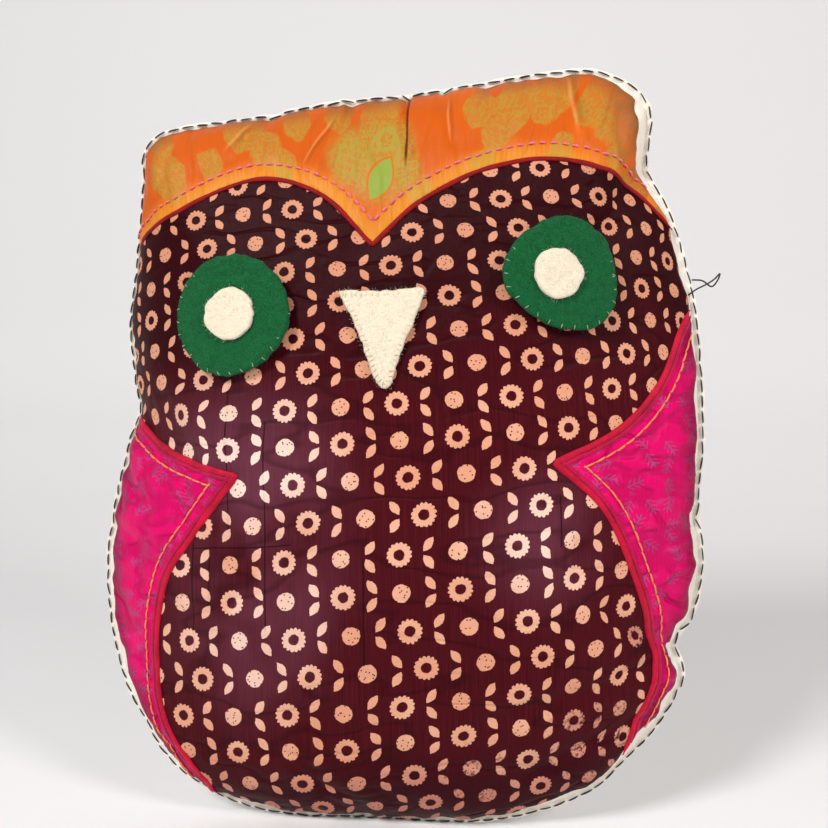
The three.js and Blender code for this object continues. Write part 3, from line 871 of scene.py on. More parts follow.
def maroon_silk():
    material, wire, surface = new_surface("maroon silk", specular_ior_level=0.05)
    place = on_cloth(wire)
    threads, weave = silk_weave(place, 26 * MM, 0.5 * MM)
    broad = place.noise(55 * MM, 3.0)
    # Painted highlight: pale grey-purple patches of sheen where the silk catches the lamps.
    painted_sheen = place.near(-74, 13, 46, 34).top(place.near(-62, -56, 38, 32) * 0.85)
    painted_sheen = painted_sheen.top(place.near(77, -27, 26, 24) * 0.75) * broad.step(0.28, 0.6)
    # Darker towards the top of the body.
    dark = (place.parts()[1] + (broad - 0.5) * (120 * MM)).step(30 * MM, 110 * MM)
    wrinkles = abs(place.scaled((0.5, 1.5, 1)).noise(46 * MM, 2.0) - 0.5).step(0.035, 0.0)
    cloth = (threads.step(0.3, 0.75) * 0.7 + broad * 0.3).mix(linear("38040b"), linear("52101a"))
    cloth = (painted_sheen * (0.45 + threads * 0.55)).mix(cloth, linear("6a3646"))
    cloth = (dark * 0.9).mix(cloth, linear("2a0308"))
    # Painted shade in the soft wrinkles.
    cloth = (wrinkles * 0.4).mix(cloth, linear("220307"))
    # Painted shade towards the bottom rim, where the cushion turns under.
    low = (place.parts()[1] + (broad - 0.5) * (30 * MM)).step(-116 * MM, -158 * MM)
    cloth = (low * 0.7).mix(cloth, linear("2e040c"))
    folds = fold_line(place, (-77, -12), (-77, 67), True)
    for start, end, upright in (((-97, -70), (-97, -18), True), ((-88, -48), (-88, -25), True),
                                ((-97, -20), (-46, -20), False), ((86, -30), (86, -7), True),
                                ((-58, -60), (-58, 40), True), ((-10, -80), (-10, -30), True)):
        folds = folds.top(fold_line(place, start, end, upright))
    # Painted shade in the pressed folds.
    cloth = (folds * 0.75).mix(cloth, linear("1c050b"))
    worn = place.near(104, -136, 25, 13).top(place.near(42, -146, 17, 9) * 0.8)
    worn = worn.top(place.near(136, -84, 13, 7))
    patchy = place.noise(2.6 * MM, 3.0).step(0.36, 0.52)
    hold = 1 - worn * (1 - patchy)
    ink = body_print(place) * hold * (0.70 + place.noise(1.1 * MM, 2.0) * 0.3 + broad * 0.2)
    fresh = broad.step(0.35, 0.7).mix(linear("de9b7c"), linear("e4ad90"))
    # The ink paler under the painted highlight.
    fresh = (painted_sheen * 0.85).mix(fresh, linear("f3dace"))
    # The ink darker towards the top as well.
    fresh = (dark * 0.6).mix(fresh, linear("c98468"))
    # The ink darker where the print is worn, and with painted shade towards the bottom rim.
    fresh = (worn * 0.6).top(low * 0.6).mix(fresh, linear("b46c64"))
    colour = (ink * (0.9 + threads * 0.12)).mix(cloth, fresh)
    roughness = 0.36 + threads * 0.16 + ink * 0.18
    relief = weave - folds * 1.2 + place.noise(9 * MM, 2.0) * 2.0 - wrinkles * 1.6
    connect(wire, surface, colour, roughness, relief, 0.22 * MM)
    return material


def scribble(place, size, width):
    """Thin curled lines, as of a worn block print."""
    bands = place.noise(size, 1.0)
    return (bands * 6).stripes(width, width * 0.5)


# Olive blotches of the forehead's print: place across and up, and reach, in mm
BLOTCHES = ((50, 157, 8), (36, 159, 6), (64, 158, 8), (44, 150, 6), (90, 148, 9), (80, 153, 7),
            (93, 139, 6), (104, 127, 7), (-96, 132, 8), (-98, 142, 5), (-65, 153, 9),
            (-54, 146, 7), (-46, 142, 6), (-42, 157, 6), (-5, 162, 9), (-24, 161, 6),
            (40, 142, 5), (71, 141, 5), (112, 112, 6), (-78, 139, 5), (14, 134, 5))


def orange_silk():
    material, wire, surface = new_surface("orange silk", specular_ior_level=0.15)
    place = on_cloth(wire)
    x, y = place.parts()[:2]
    threads, weave = silk_weave(place, 22 * MM, 0.45 * MM)
    broad = place.noise(30 * MM, 2.0)
    from_brow = distance(wire, "from_sewn_line")
    from_seam = distance(wire, "from_seam")
    height = (from_brow + (broad - 0.5) * (12 * MM)).step(1 * MM, 14 * MM)
    cloth = height.mix(linear("da8420"), linear("c6560a"))
    cloth = (broad.step(0.5, 0.7) * 0.5).mix(cloth, linear("dd6a12"))
    # Painted shade along the top seam, where the silk turns back over the crown.
    rim = (from_seam + (broad - 0.5) * (9 * MM)).step(9 * MM, 2 * MM) * y.step(128 * MM, 142 * MM)
    cloth = rim.mix(cloth, linear("a24e1c"))
    cloth = (threads.step(0.3, 0.8) * 0.35).mix(cloth, linear("b84c0a"))
    block = place.near(-4, 145, 15, 4).top(place.near(-17, 146, 10, 3)).top(place.near(6, 140, 8, 3))
    patches = block
    for across, up, reach in BLOTCHES:
        patches = patches.top(place.near(across, up, reach, 3))
    patches = (patches + (place.noise(6 * MM, 3.0) - 0.5) * 1.3).step(0.38, 0.64)
    lines = scribble(place, 6 * MM, 0.20).top(scribble(place.moved((0.3, 0.1, 0)), 4 * MM, 0.16))
    slanted = x + (y - 0.14) * 0.35 + (broad - 0.5) * 0.01
    strokes = (slanted / (2.1 * MM)).stripes(0.22, 0.1)
    comb = strokes * abs(from_brow - 5 * MM).step(3.6 * MM, 2.4 * MM)
    comb = comb * place.noise(26 * MM, 1.0).step(0.42, 0.5)
    green = (patches * 0.72).top(block) * (0.5 + lines * 0.4)
    drop_x, drop_y = x + 2.5 * MM, y - 139 * MM
    lean = drop_x * 0.86 - drop_y * 0.5
    tall = drop_x * 0.5 + drop_y * 0.86
    drop = (1 - (tall / (8 * MM)) ** 2) * (4.6 * MM) - tall * 0.22 - abs(lean)
    ring = ((x + 1.5 * MM) ** 2 + (y - 151.5 * MM) ** 2) ** 0.5
    curl = abs(ring - 3.7 * MM).step(1.3 * MM, 0.8 * MM)
    ribs = ((y + x * 0.3) / (2.9 * MM)).stripes(0.3, 0.18) * place.near(-17, 146, 8, 2)
    arch = abs((ring * 0.6 + ((x + 3 * MM) ** 2 + (y - 139 * MM) ** 2) ** 0.5 * 0.55) - 10.5 * MM)
    arch = arch.step(1.2 * MM, 0.6 * MM)
    green = green.top(curl * 0.95).top(ribs * 0.8).top(arch * block * 0.9).top(comb * 0.35)
    green = green * (0.75 + place.noise(1.3 * MM, 2.0) * 0.35)
    ink = from_seam.step(20 * MM, 7 * MM).mix(linear("98983c"), linear("6c6238"))
    colour = (green * 0.88).mix(cloth, ink)
    colour = drop.step(-1.4 * MM, -1.0 * MM).mix(colour, linear("c06a14"))
    colour = drop.step(-0.2 * MM, 0.2 * MM).mix(colour, linear("87993a"))
    # Painted shadow in the narrow upright crease of the forehead.
    crease_shadow = abs(x - 6.2 * MM + (y - 168 * MM) * 0.05).step(0.8 * MM, 0.25 * MM) * y.step(139 * MM, 147 * MM)
    colour = (crease_shadow * 0.9).mix(colour, linear("4c0f04"))
    for start, end in (((-27, 160), (-38, 143)), ((23, 163), (26, 150)), ((68, 160), (76, 146)),
                       ((-62, 154), (-72, 144)), ((92, 152), (104, 130))):
        lit = streak(place, start, end, 0.9)
        shade = streak(place, (start[0] + 1.4, start[1]), (end[0] + 1.4, end[1]), 1.6)
        colour = (shade * 0.4).mix(colour, linear("8c3a08"))
        colour = (lit * 0.32).mix(colour, linear("f0a860"))
    folds = crinkles(place.scaled((1.5, 0.6, 1)), 26 * MM)
    relief = weave + place.noise(8 * MM, 2.0) * 2.2 - folds * 3.0
    connect(wire, surface, colour, 0.36 + threads * 0.16, relief, 0.24 * MM)
    return material


SPRIG_SPACING = 8.8 * MM         # between the sprigs of the wings' print


def magenta_silk():
    material, wire, surface = new_surface("magenta silk", specular_ior_level=0.08)
    place = on_cloth(wire)
    threads, weave = silk_weave(place, 22 * MM, 0.45 * MM)
    broad = place.noise(24 * MM, 3.0)
    # Painted shade towards the outer edge of each wing, where the cushion turns away.
    outer = (distance(wire, "from_seam") + (broad - 0.5) * (24 * MM)).step(20 * MM, 0)
    cloth = (threads.step(0.3, 0.8) * 0.45).mix(linear("dc0264"), linear("ac024c"))
    cloth = (outer * 0.9).mix(cloth, linear("86023a"))
    cloth = (broad.step(0.55, 0.72) * 0.4).mix(cloth, linear("f01078"))
    centre = place.cells(SPRIG_SPACING, "Position")
    chance = place.cells(SPRIG_SPACING, "Color").parts()
    turn = chance[0] * 6.3
    local = place.node("VectorMath", {0: place, 1: centre}, operation="SUBTRACT").parts()
    cosine = place.math("COSINE", turn)
    across = abs(local[0] * cosine + local[1] * turn.sine())
    up = local[1] * cosine - local[0] * turn.sine()
    stem = (0.28 * MM - across).step(-0.1 * MM, 0.1 * MM) * abs(up).step(4.0 * MM, 3.6 * MM)
    rib = ((up - across * 0.9) / (2.3 * MM)).stripes(0.15, 0.09)
    rib = rib * across.step(2.6 * MM, 2.1 * MM) * abs(up).step(4.0 * MM, 3.4 * MM)
    sprig = stem.top(rib) * chance[1].step(0.28, 0.32) * (0.5 + place.noise(1.5 * MM, 2.0) * 0.8)
    smudge = place.noise(6 * MM, 3.0).step(0.62, 0.72) * 0.35
    # The sprigs darker in that painted shade.
    colour = sprig.top(smudge).mix(cloth, outer.mix(linear("8e4e7c"), linear("5e3052")))
    folds = crinkles(place.scaled((0.8, 1.2, 1)), 22 * MM)
    # Painted shade in the crinkle valleys.
    colour = (folds * 0.35).mix(colour, linear("8e0440"))
    relief = weave + place.noise(7 * MM, 2.0) * 3.0 - folds * 5.0
    connect(wire, surface, colour, 0.36 + threads * 0.18, relief, 0.26 * MM)
    return material


def crimson_silk(name, bright, dark):
    """Folded strips of silk, with fine threads slanting round them."""
    material, wire, surface = new_surface(name, sheen_weight=0.05, specular_ior_level=0.15)
    place = in_space(wire)
    threads = place.scaled((1.6, 1, 0.8)).noise(0.5 * MM, 3.0)
    broad = place.noise(9 * MM, 2.0)
    colour = (threads * 0.6 + broad * 0.4).step(0.3, 0.7).mix(linear(dark), linear(bright))
    connect(wire, surface, colour, 0.42 + threads * 0.2, threads + broad * 2.0, 0.2 * MM)
    return material


def cream_cotton():
    material, wire, surface = new_surface("cream cotton", sheen_weight=0.2)
    place = on_cloth(wire)
    x, y = place.parts()[:2]
    warp = ((x + (place.noise(6 * MM, 1.0) - 0.5) * (0.8 * MM)) * (2 * math.pi / (0.55 * MM))).sine()
    weft = ((y + (place.noise(7 * MM, 1.0) - 0.5) * (0.8 * MM)) * (2 * math.pi / (0.6 * MM))).sine()
    broad = place.noise(40 * MM, 3.0)
    fleck = place.noise(1.6 * MM, 3.0)
    colour = broad.step(0.3, 0.7).mix(linear("eee5d8"), linear("f6f0e6"))
    colour = (fleck.step(0.58, 0.8) * 0.4).mix(colour, linear("d8c9b4"))
    connect(wire, surface, colour, 0.82 + fleck * 0.12, warp * weft * 0.5 + fleck * 1.2 + broad, 0.18 * MM)
    return material


def felt(name, light, dark, grain):
    """Pressed wool: short fibres lying every way."""
    material, wire, surface = new_surface(name, sheen_weight=0.06, roughness=0.95, specular_ior_level=0.1)
    place = in_space(wire)
    fine = place.noise(0.35 * MM, 4.0)
    fibres = place.scaled((1, 2.2, 2.2)).noise(0.8 * MM, 4.0)
    tufts = place.noise(3.2 * MM, 3.0)
    tone = (fine * 0.5 + fibres * 0.36 + tufts * 0.14)
    colour = tone.step(0.5 - grain, 0.5 + grain).mix(linear(dark), linear(light))
    connect(wire, surface, colour, None, fine * 0.8 + fibres + tufts * 1.5, 0.5 * MM)
    return material


def thread(name, light, dark):
    """Cotton thread with its plies showing as fine slanting lines."""
    material, wire, surface = new_surface(name, sheen_weight=0.2)
    place = in_space(wire)
    ply = place.noise(0.45 * MM, 2.0)
    colour = ply.step(0.35, 0.65).mix(linear(dark), linear(light))
    connect(wire, surface, colour, 0.6 + ply * 0.25, ply, 0.15 * MM)
    return material


def filling():
    material, wire, surface = new_surface("fibre filling", roughness=0.95, sheen_weight=0.3)
    place = in_space(wire)
    strands = place.noise(2.0 * MM, 5.0)
    colour = strands.step(0.3, 0.7).mix(linear("d9d6ce"), linear("f7f5f0"))
    connect(wire, surface, colour, None, strands, 1.0 * MM)
    return material


def plain_material(name, colour, roughness):
    material, _, surface = new_surface(name, roughness=roughness)
    surface.inputs["Base Color"].default_value = linear(colour)
    return material


CREAM = cream_cotton()
MAROON = maroon_silk()
ORANGE = orange_silk()
MAGENTA = magenta_silk()
CRIMSON = crimson_silk("crimson piping", "d4063a", "8c021c")
WING_FOLD = crimson_silk("wing fold", "cc0450", "84022c")
DARK_CRIMSON = crimson_silk("dark crimson piping", "9c0410", "650106")
GREEN = felt("green felt", "1c7040", "053a1a", 0.18)
FELT = felt("cream felt", "f4ead6", "e4d6ba", 0.30)
BLACK = thread("black thread", "2c2a2b", "0c0b0c")
PINK = thread("pink thread", "ee7a86", "cf4a62")
AMBER = thread("orange thread", "f7924a", "d8602e")
PALE = thread("pale thread", "a9b596", "6c8f66")
ECRU = thread("cream thread", "f2e6cc", "d8c8a4")
FIBRE = filling()


# ---- Repeated shapes with Geometry Nodes ---------------------------------

class Recipe:
    """A Geometry Nodes tree with named inputs, made once and used by many pieces."""

    def __init__(self, name, inputs):
        self.tree = bpy.data.node_groups.new(name, "GeometryNodeTree")
        self.ids = {}
        for key, kind in (("Geometry", "Geometry"), *inputs):
            made = self.tree.interface.new_socket(key, in_out="INPUT", socket_type="NodeSocket" + kind)
            self.ids[key] = made.identifier
        self.tree.interface.new_socket("Geometry", in_out="OUTPUT", socket_type="NodeSocketGeometry")
        self.given = self.tree.nodes.new("NodeGroupInput").outputs

    def add(self, kind, inputs, output=0, **settings):
        node = self.tree.nodes.new(kind)
        for key, value in settings.items():
            setattr(node, key, value)
        for key, value in inputs.items():
            if isinstance(value, bpy.types.NodeSocket):
                self.tree.links.new(value, node.inputs[key])
            else:
                node.inputs[key].default_value = value
        return node.outputs[output]

    def finish(self, geometry):
        real = self.add("GeometryNodeRealizeInstances", {"Geometry": geometry})
        painted = self.add("GeometryNodeSetMaterial", {"Geometry": real, "Material": self.given["Material"]})
        self.tree.links.new(painted, self.tree.nodes.new("NodeGroupOutput").inputs[0])

    def make(self, base, name, **values):
        """Runs the tree on base and returns a plain piece; base is removed."""
        modifier = base.modifiers.new("recipe", "NODES")
        modifier.node_group = self.tree
        for key, value in values.items():
            modifier[self.ids[key]] = value
        evaluated = base.evaluated_get(bpy.context.evaluated_depsgraph_get())
        mesh = bpy.data.meshes.new_from_object(evaluated)
        base.modifiers.clear()
        bpy.data.objects.remove(base)
        piece = add_object(name, mesh)
        mesh.name = name
        return piece


def random_value(recipe, low, high, offset):
    seed = recipe.add("ShaderNodeMath", {0: recipe.given["Seed"], 1: float(offset)}, operation="ADD")
    return recipe.add("FunctionNodeRandomValue", {"Min": low, "Max": high, "Seed": seed}, output=1,
                      data_type="FLOAT")


def stitch_recipe():
    """Stitches at even steps along a line that carries its along and out directions."""
    recipe = Recipe("stitches", (("Spacing", "Float"), ("Stitch", "Object"), ("Turn", "Float"),
                                 ("Seed", "Int"), ("Material", "Material")))
    curve = recipe.add("GeometryNodeMeshToCurve", {"Mesh": recipe.given["Geometry"]})
    even = recipe.add("GeometryNodeResampleCurve", {"Curve": curve, "Length": recipe.given["Spacing"]},
                      mode="LENGTH")
    along = recipe.add("GeometryNodeInputNamedAttribute", {"Name": "along"}, data_type="FLOAT_VECTOR")
    out = recipe.add("GeometryNodeInputNamedAttribute", {"Name": "out"}, data_type="FLOAT_VECTOR")
    turned = recipe.add("FunctionNodeAxesToRotation", {"Primary Axis": out, "Secondary Axis": along},
                        primary_axis="Z", secondary_axis="X")
    widest = recipe.add("ShaderNodeMath", {0: recipe.given["Turn"], 1: -1.0}, operation="MULTIPLY")
    angle = random_value(recipe, widest, recipe.given["Turn"], 0)
    spin = recipe.add("FunctionNodeAxisAngleToRotation", {"Axis": (0, 0, 1), "Angle": angle})
    turned = recipe.add("FunctionNodeRotateRotation", {"Rotation": turned, "Rotate By": spin},
                        rotation_space="LOCAL")
    length = random_value(recipe, 0.86, 1.08, 1)
    thickness = random_value(recipe, 0.85, 1.15, 2)
    scale = recipe.add("ShaderNodeCombineXYZ", {0: length, 1: thickness, 2: thickness})
    shape = recipe.add("GeometryNodeObjectInfo", {"Object": recipe.given["Stitch"]}, output="Geometry")
    stitches = recipe.add("GeometryNodeInstanceOnPoints",
                          {"Points": even, "Instance": shape, "Rotation": turned, "Scale": scale},
                          output="Instances")
    recipe.finish(stitches)
    return recipe


def fuzz_recipe():
    """Loose fibres standing off a piece, joined to it."""
    recipe = Recipe("fuzz", (("Density", "Float"), ("Fibre", "Object"), ("Seed", "Int"),
                             ("Material", "Material")))
    spread = recipe.tree.nodes.new("GeometryNodeDistributePointsOnFaces")
    recipe.tree.links.new(recipe.given["Geometry"], spread.inputs["Mesh"])
    recipe.tree.links.new(recipe.given["Density"], spread.inputs["Density"])
    recipe.tree.links.new(recipe.given["Seed"], spread.inputs["Seed"])
    tilt = recipe.add("ShaderNodeCombineXYZ", {0: random_value(recipe, -1.25, 1.25, 3),
                                               1: random_value(recipe, -1.25, 1.25, 4),
                                               2: random_value(recipe, 0.0, 6.28, 5)})
    tilt = recipe.add("FunctionNodeEulerToRotation", {"Euler": tilt})
    turned = recipe.add("FunctionNodeRotateRotation",
                        {"Rotation": spread.outputs["Rotation"], "Rotate By": tilt}, rotation_space="LOCAL")
    size = random_value(recipe, 0.5, 1.2, 6)
    shape = recipe.add("GeometryNodeObjectInfo", {"Object": recipe.given["Fibre"]}, output="Geometry")
    fibres = recipe.add("GeometryNodeInstanceOnPoints",
                        {"Points": spread.outputs["Points"], "Instance": shape, "Rotation": turned,
                         "Scale": size}, output="Instances")
    joined = recipe.tree.nodes.new("GeometryNodeJoinGeometry")
    recipe.tree.links.new(fibres, joined.inputs[0])
    recipe.tree.links.new(recipe.given["Geometry"], joined.inputs[0])
    recipe.finish(joined.outputs[0])
    return recipe


# ---- Making pieces -------------------------------------------------------

def smooth_shade(piece):
    piece.data.polygons.foreach_set("use_smooth", [True] * len(piece.data.polygons))


def give_print_places(piece, cut, place=print_place):
    """Stores places on the printed cloth, in metres, as the piece's UV map."""
    layer = piece.data.uv_layers.new(name="cloth")
    loops = np.empty(len(piece.data.loops), int)
    piece.data.loops.foreach_get("vertex_index", loops)
    layer.data.foreach_set("uv", place(np.asarray(cut))[loops].ravel())


def thicken(piece, thickness):
    solid = piece.modifiers.new("Thickness", "SOLIDIFY")
    solid.thickness = thickness
    solid.offset = -1
    solid.use_even_offset = False


def finish_piece(piece, material, slot, *nodes):
    if piece.data.materials[:] != [material]:
        piece.data.materials.clear()
        piece.data.materials.append(material)
    smooth_shade(piece)
    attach(piece, "root")
    if nodes:
        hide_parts(*nodes)
    return piece


def declare_sheet(cut):
    """Works out the flat size of cloth the piece was cut from, and does nothing more with it."""
    width, length = cut.max(axis=0) - cut.min(axis=0)


def sewn_cloth(name, face, node):
    """Front or back cotton: the crowned face with a flat border outside the seam."""
    a, b = np.meshgrid(np.linspace(0, 1, 2 * ACROSS + 1), np.linspace(0, 1, 2 * UP + 1))
    ab = np.stack([a.ravel(), b.ravel()], axis=1)
    cut = cut_from_grid(ab[:, 0], ab[:, 1])
    points, _ = face.at(cut, 0.2 * MM, ab)
    rows, columns = a.shape
    number = np.arange(rows * columns).reshape(rows, columns)
    faces = [grid_quads(number)]
    rim = np.concatenate([number[0, :-1], number[:-1, -1], number[-1, :0:-1], number[:0:-1, 0]])
    seam, seam_cut = points[rim].copy(), cut[rim].copy()
    away = right_of(seam[:, [0, 2]], closed=True)
    place = np.arange(len(rim)) * 3.3 * MM
    previous = rim
    for share in (0.35, 0.7, 1.0):
        ring = seam.copy()
        reach = BORDER * share * (1 + 0.18 * ripple(place, 14 * MM, 5))
        ring[:, 0] += away[:, 0] * reach
        ring[:, 2] = np.maximum(ring[:, 2] + away[:, 1] * reach, 0.9 * MM)
        flare = 0.45 * MM + 0.5 * MM * share * (1 + ripple(place, 9 * MM, 7 + face.side))
        ring[:, 1] = seam[:, 1] + face.side * flare
        ids = len(points) + np.arange(len(rim))
        points = np.vstack([points, ring])
        cut = np.vstack([cut, seam_cut + away * reach[:, None]])
        faces.append(band_quads(previous, ids))
        previous = ids
    faces = np.vstack(faces)
    if face.side > 0:
        faces = faces[:, ::-1]
    piece = make_mesh(name, points, faces)
    give_print_places(piece, cut)
    thicken(piece, CLOTH_THICKNESS)
    finish_piece(piece, CREAM, "cream_cotton", node)
    declare_sheet(cut)
    return piece


def spread_points(polygon, spacing):
    """Points of a triangular lattice inside a polygon, clear of its edge."""
    low, high = polygon.min(axis=0), polygon.max(axis=0)
    rows = np.arange(low[1], high[1], spacing * 0.866)
    columns = np.arange(low[0], high[0], spacing)
    x, z = np.meshgrid(columns, rows)
    x = x + (np.arange(len(rows)) % 2)[:, None] * spacing / 2
    points = np.stack([x.ravel(), z.ravel()], axis=1)
    points = points[inside(points, polygon)]
    return points[distance_to_line(points, polygon) > 0.6 * spacing]


def triangles_over(edge, lines=(), spacing=PANEL_SPACING):
    """Points and triangles over a polygon, with the lines among the triangles' sides."""
    loose = spread_points(edge, spacing)
    if lines:
        loose = loose[distance_to_line(loose, np.vstack(lines)) > 0.55 * spacing]
    points, sides, count = [edge], [], len(edge)
    for line in lines:
        sides += [(count + k, count + k + 1) for k in range(len(line) - 1)]
        points.append(line)
        count += len(line)
    points = np.vstack(points + [loose])
    result = delaunay_2d_cdt([Vector(p) for p in points], sides, [list(range(len(edge)))], 1, 1e-7)
    return np.array([tuple(p) for p in result[0]]), np.array(result[2])


def silk_panels():
    """The four silks, cut from one layer of triangles along the brow and wing lines."""
    edge = even_line(PANEL_EDGE, spacing=1.8 * MM, closed=True)
    lines = [within_panels(even_line(line, spacing=1.8 * MM), -0.4 * MM)
             for line in (BROW, WING_LEFT, WING_RIGHT)]
    points, triangles = triangles_over(edge, lines)
    middle = points[triangles].mean(axis=1)
    forehead = inside(middle, np.array([(-1, BROW[0][1]), *BROW, (1, BROW[-1][1]), (1, 2), (-1, 2)]))
    left, right = (
        inside(middle, np.array([*line, (line[-1][0], -1), (far, -1), (far, line[0][1])])) & ~forehead
        for line, far in ((WING_LEFT, -1), (WING_RIGHT, 1)))
    gap = distance_to_line(points, PANEL_EDGE)
    from_line = distance_to_line(points, np.vstack(lines))
    lift = PANEL_LIFT * (0.4 + 0.6 * soft_step(0, 2 * MM, gap))
    placed, _ = FRONT.at(points, lift)
    for mask, material, name in ((forehead, ORANGE, "forehead_silk"), (left, MAGENTA, "wing_left_silk"),
                                 (right, MAGENTA, "wing_right_silk"),
                                 (~forehead & ~left & ~right, MAROON, "body_silk")):
        used, numbers = np.unique(triangles[mask], return_inverse=True)
        faces = numbers.reshape(-1, 3)
        piece = make_mesh(name, placed[used], faces)
        give_print_places(piece, points[used], block_place if material is MAROON else print_place)
        for key, values in (("from_sewn_line", from_line), ("from_seam", gap)):
            piece.data.attributes.new(key, "FLOAT", "POINT").data.foreach_set("value", values[used])
        thicken(piece, SILK_THICKNESS)
        finish_piece(piece, material, material.name.replace(" ", "_"), name.replace("silk", "panel"))
        declare_sheet(points[used])


def swept(name, points, outs, width, height, sides=10):
    """A rounded strip along a line; width and height are half sizes, one or one per point."""
    along = line_directions(points)
    across = np.cross(along, outs)
    across /= np.linalg.norm(across, axis=1, keepdims=True)
    width, height = (np.broadcast_to(size, len(points))[:, None] for size in (width, height))
    turns = 2 * math.pi * (np.arange(sides) + 0.5) / sides
    rings = [points + across * width * math.cos(t) + outs * height * math.sin(t) for t in turns]
    verts = np.stack(rings, axis=1).reshape(-1, 3)
    faces = []
    for i in range(len(points) - 1):
        here, there = i * sides, (i + 1) * sides
        faces += [[here + k, here + (k + 1) % sides, there + (k + 1) % sides, there + k]
                  for k in range(sides)]
    faces.append(list(range(sides))[::-1])
    faces.append([(len(points) - 1) * sides + k for k in range(sides)])
    return make_mesh(name, verts, faces)


def tapered(width, place, wavelength, seed):
    """A roll's half width along its line: a little uneven, and thin where it runs under the seam."""
    end = np.minimum(place, place[::-1])
    return width * (1 + 0.15 * ripple(place, wavelength, seed)) * (0.25 + 0.75 * soft_step(0, 9 * MM, end))


def silk_roll(name, line, radius, height, lift, wavelength, seed, material, *nodes):
    """A folded strip sewn along a line, as an uneven roll. height is a share of its width."""
    line = within_panels(even_line(line, spacing=PIPING_STEP))
    points, outs = FRONT.at(line, PANEL_LIFT + lift)
    wide = tapered(radius, np.arange(len(line)) * PIPING_STEP, wavelength, len(line) + seed)
    finish_piece(swept(name, points, outs, wide, height * wide), material, "crimson_piping", *nodes)


def marked_line(name, points, along, out):
    """A line of edges whose points carry the stitches' directions."""
    mesh = bpy.data.meshes.new(name)
    mesh.from_pydata(points.tolist(), [(k, k + 1) for k in range(len(points) - 1)], [])
    for key, values in (("along", along), ("out", out)):
        mesh.attributes.new(key, "FLOAT_VECTOR", "POINT").data.foreach_set("vector", values.ravel())
    return add_object(name, mesh)


def stitch_shape(length, radius, rise, sides=6):
    """One stitch along X that bows up and dips into the cloth at both ends."""
    share = np.linspace(-1, 1, 7)
    height = rise * (1 - share ** 2) - 0.6 * radius * share ** 8
    points = np.stack([share * length / 2, 0 * share, height], axis=1)
    width = radius * np.array([0.55, 0.9, 1, 1, 1, 0.9, 0.55])
    piece = swept("stitch", points, np.tile([0.0, 0.0, 1.0], (7, 1)), width, width, sides)
    smooth_shade(piece)
    piece.hide_render = True
    return piece


def rows_of_stitches(name, lines, stitch, spacing, turn, seed, material, slot, *nodes):
    """Stitches along several lines, each given as points, along and out, as one piece."""
    pieces = []
    for number, (points, along, out) in enumerate(lines):
        base = marked_line(f"{name}_{number}", points, along, out)
        pieces.append(STITCHES.make(base, f"{name}_{number}", Spacing=spacing, Stitch=stitch, Turn=turn,
                                    Seed=seed + number, Material=material))
    piece = pieces[0]
    if len(pieces) > 1:
        with bpy.context.temp_override(active_object=piece, selected_editable_objects=pieces):
            bpy.ops.object.join()
    piece.name = piece.data.name = name
    return finish_piece(piece, material, slot, *nodes)


def offset_parts(side, distance, *parts):
    """A line of the front moved to one side, its parts cut where they cross."""
    moved = [shifted_line(cut_place(even_line(smooth_line(to_place(part)), spacing=1 * MM)), side * distance)
             for part in parts]
    first, second = moved
    gaps = np.linalg.norm(first[:, None] - second[None], axis=2)
    i, j = np.unravel_index(gaps.argmin(), gaps.shape)
    return first[:i - 1], second[j + 2:]


def front_stitches(line, lift):
    line = even_line(line, spacing=1 * MM)
    points, outs = FRONT.at(line, lift)
    return points, line_directions(points), outs


# ---- The parts -----------------------------------------------------------

def stuffing():
    """The fibre filling, a little inside the cloths."""
    cut = CENTRE + (CUT_GRID.reshape(-1, 2) - CENTRE) * 0.985
    grids = [face.at(cut, -2.6 * MM)[0].reshape(CUT_GRID.shape[:2] + (3,)) for face in (FRONT, BACK)]
    rims = 0.5 * (grids[0] + grids[1])
    for edge in ((0, slice(None)), (-1, slice(None)), (slice(None), 0), (slice(None), -1)):
        grids[0][edge] = grids[1][edge] = rims[edge]
    points, faces, _ = closed_grid_mesh(*grids)
    points[:, 2] = np.maximum(points[:, 2], 1.6 * MM)
    piece = finish_piece(make_mesh("stuffing_fibre", points, faces), FIBRE, "filling", "stuffing")


def pipings():
    """A roll along the brow and each wing, and a thinner lip beside each wing's roll."""
    roll = (0.7, 0.15 * MM, 9 * MM, 0)
    lip = (0.8, 0.1 * MM, 7 * MM, 3)
    silk_roll("brow_piping", BROW, 1.15 * MM, *roll, DARK_CRIMSON, "forehead_piping")
    silk_roll("wing_left_roll", WING_LEFT, 1.7 * MM, *roll, CRIMSON, "wing_left_piping")
    silk_roll("wing_right_roll", WING_RIGHT, 1.7 * MM, *roll, CRIMSON, "wing_right_piping")
    for name, line, aside in (("wing_left_lip", WING_LEFT, 2.6 * MM),
                              ("wing_right_lip", WING_RIGHT, -2.6 * MM)):
        beside = shifted_line(even_line(line, spacing=PIPING_STEP), aside)
        silk_roll(name, beside, 1.2 * MM, *lip, WING_FOLD)


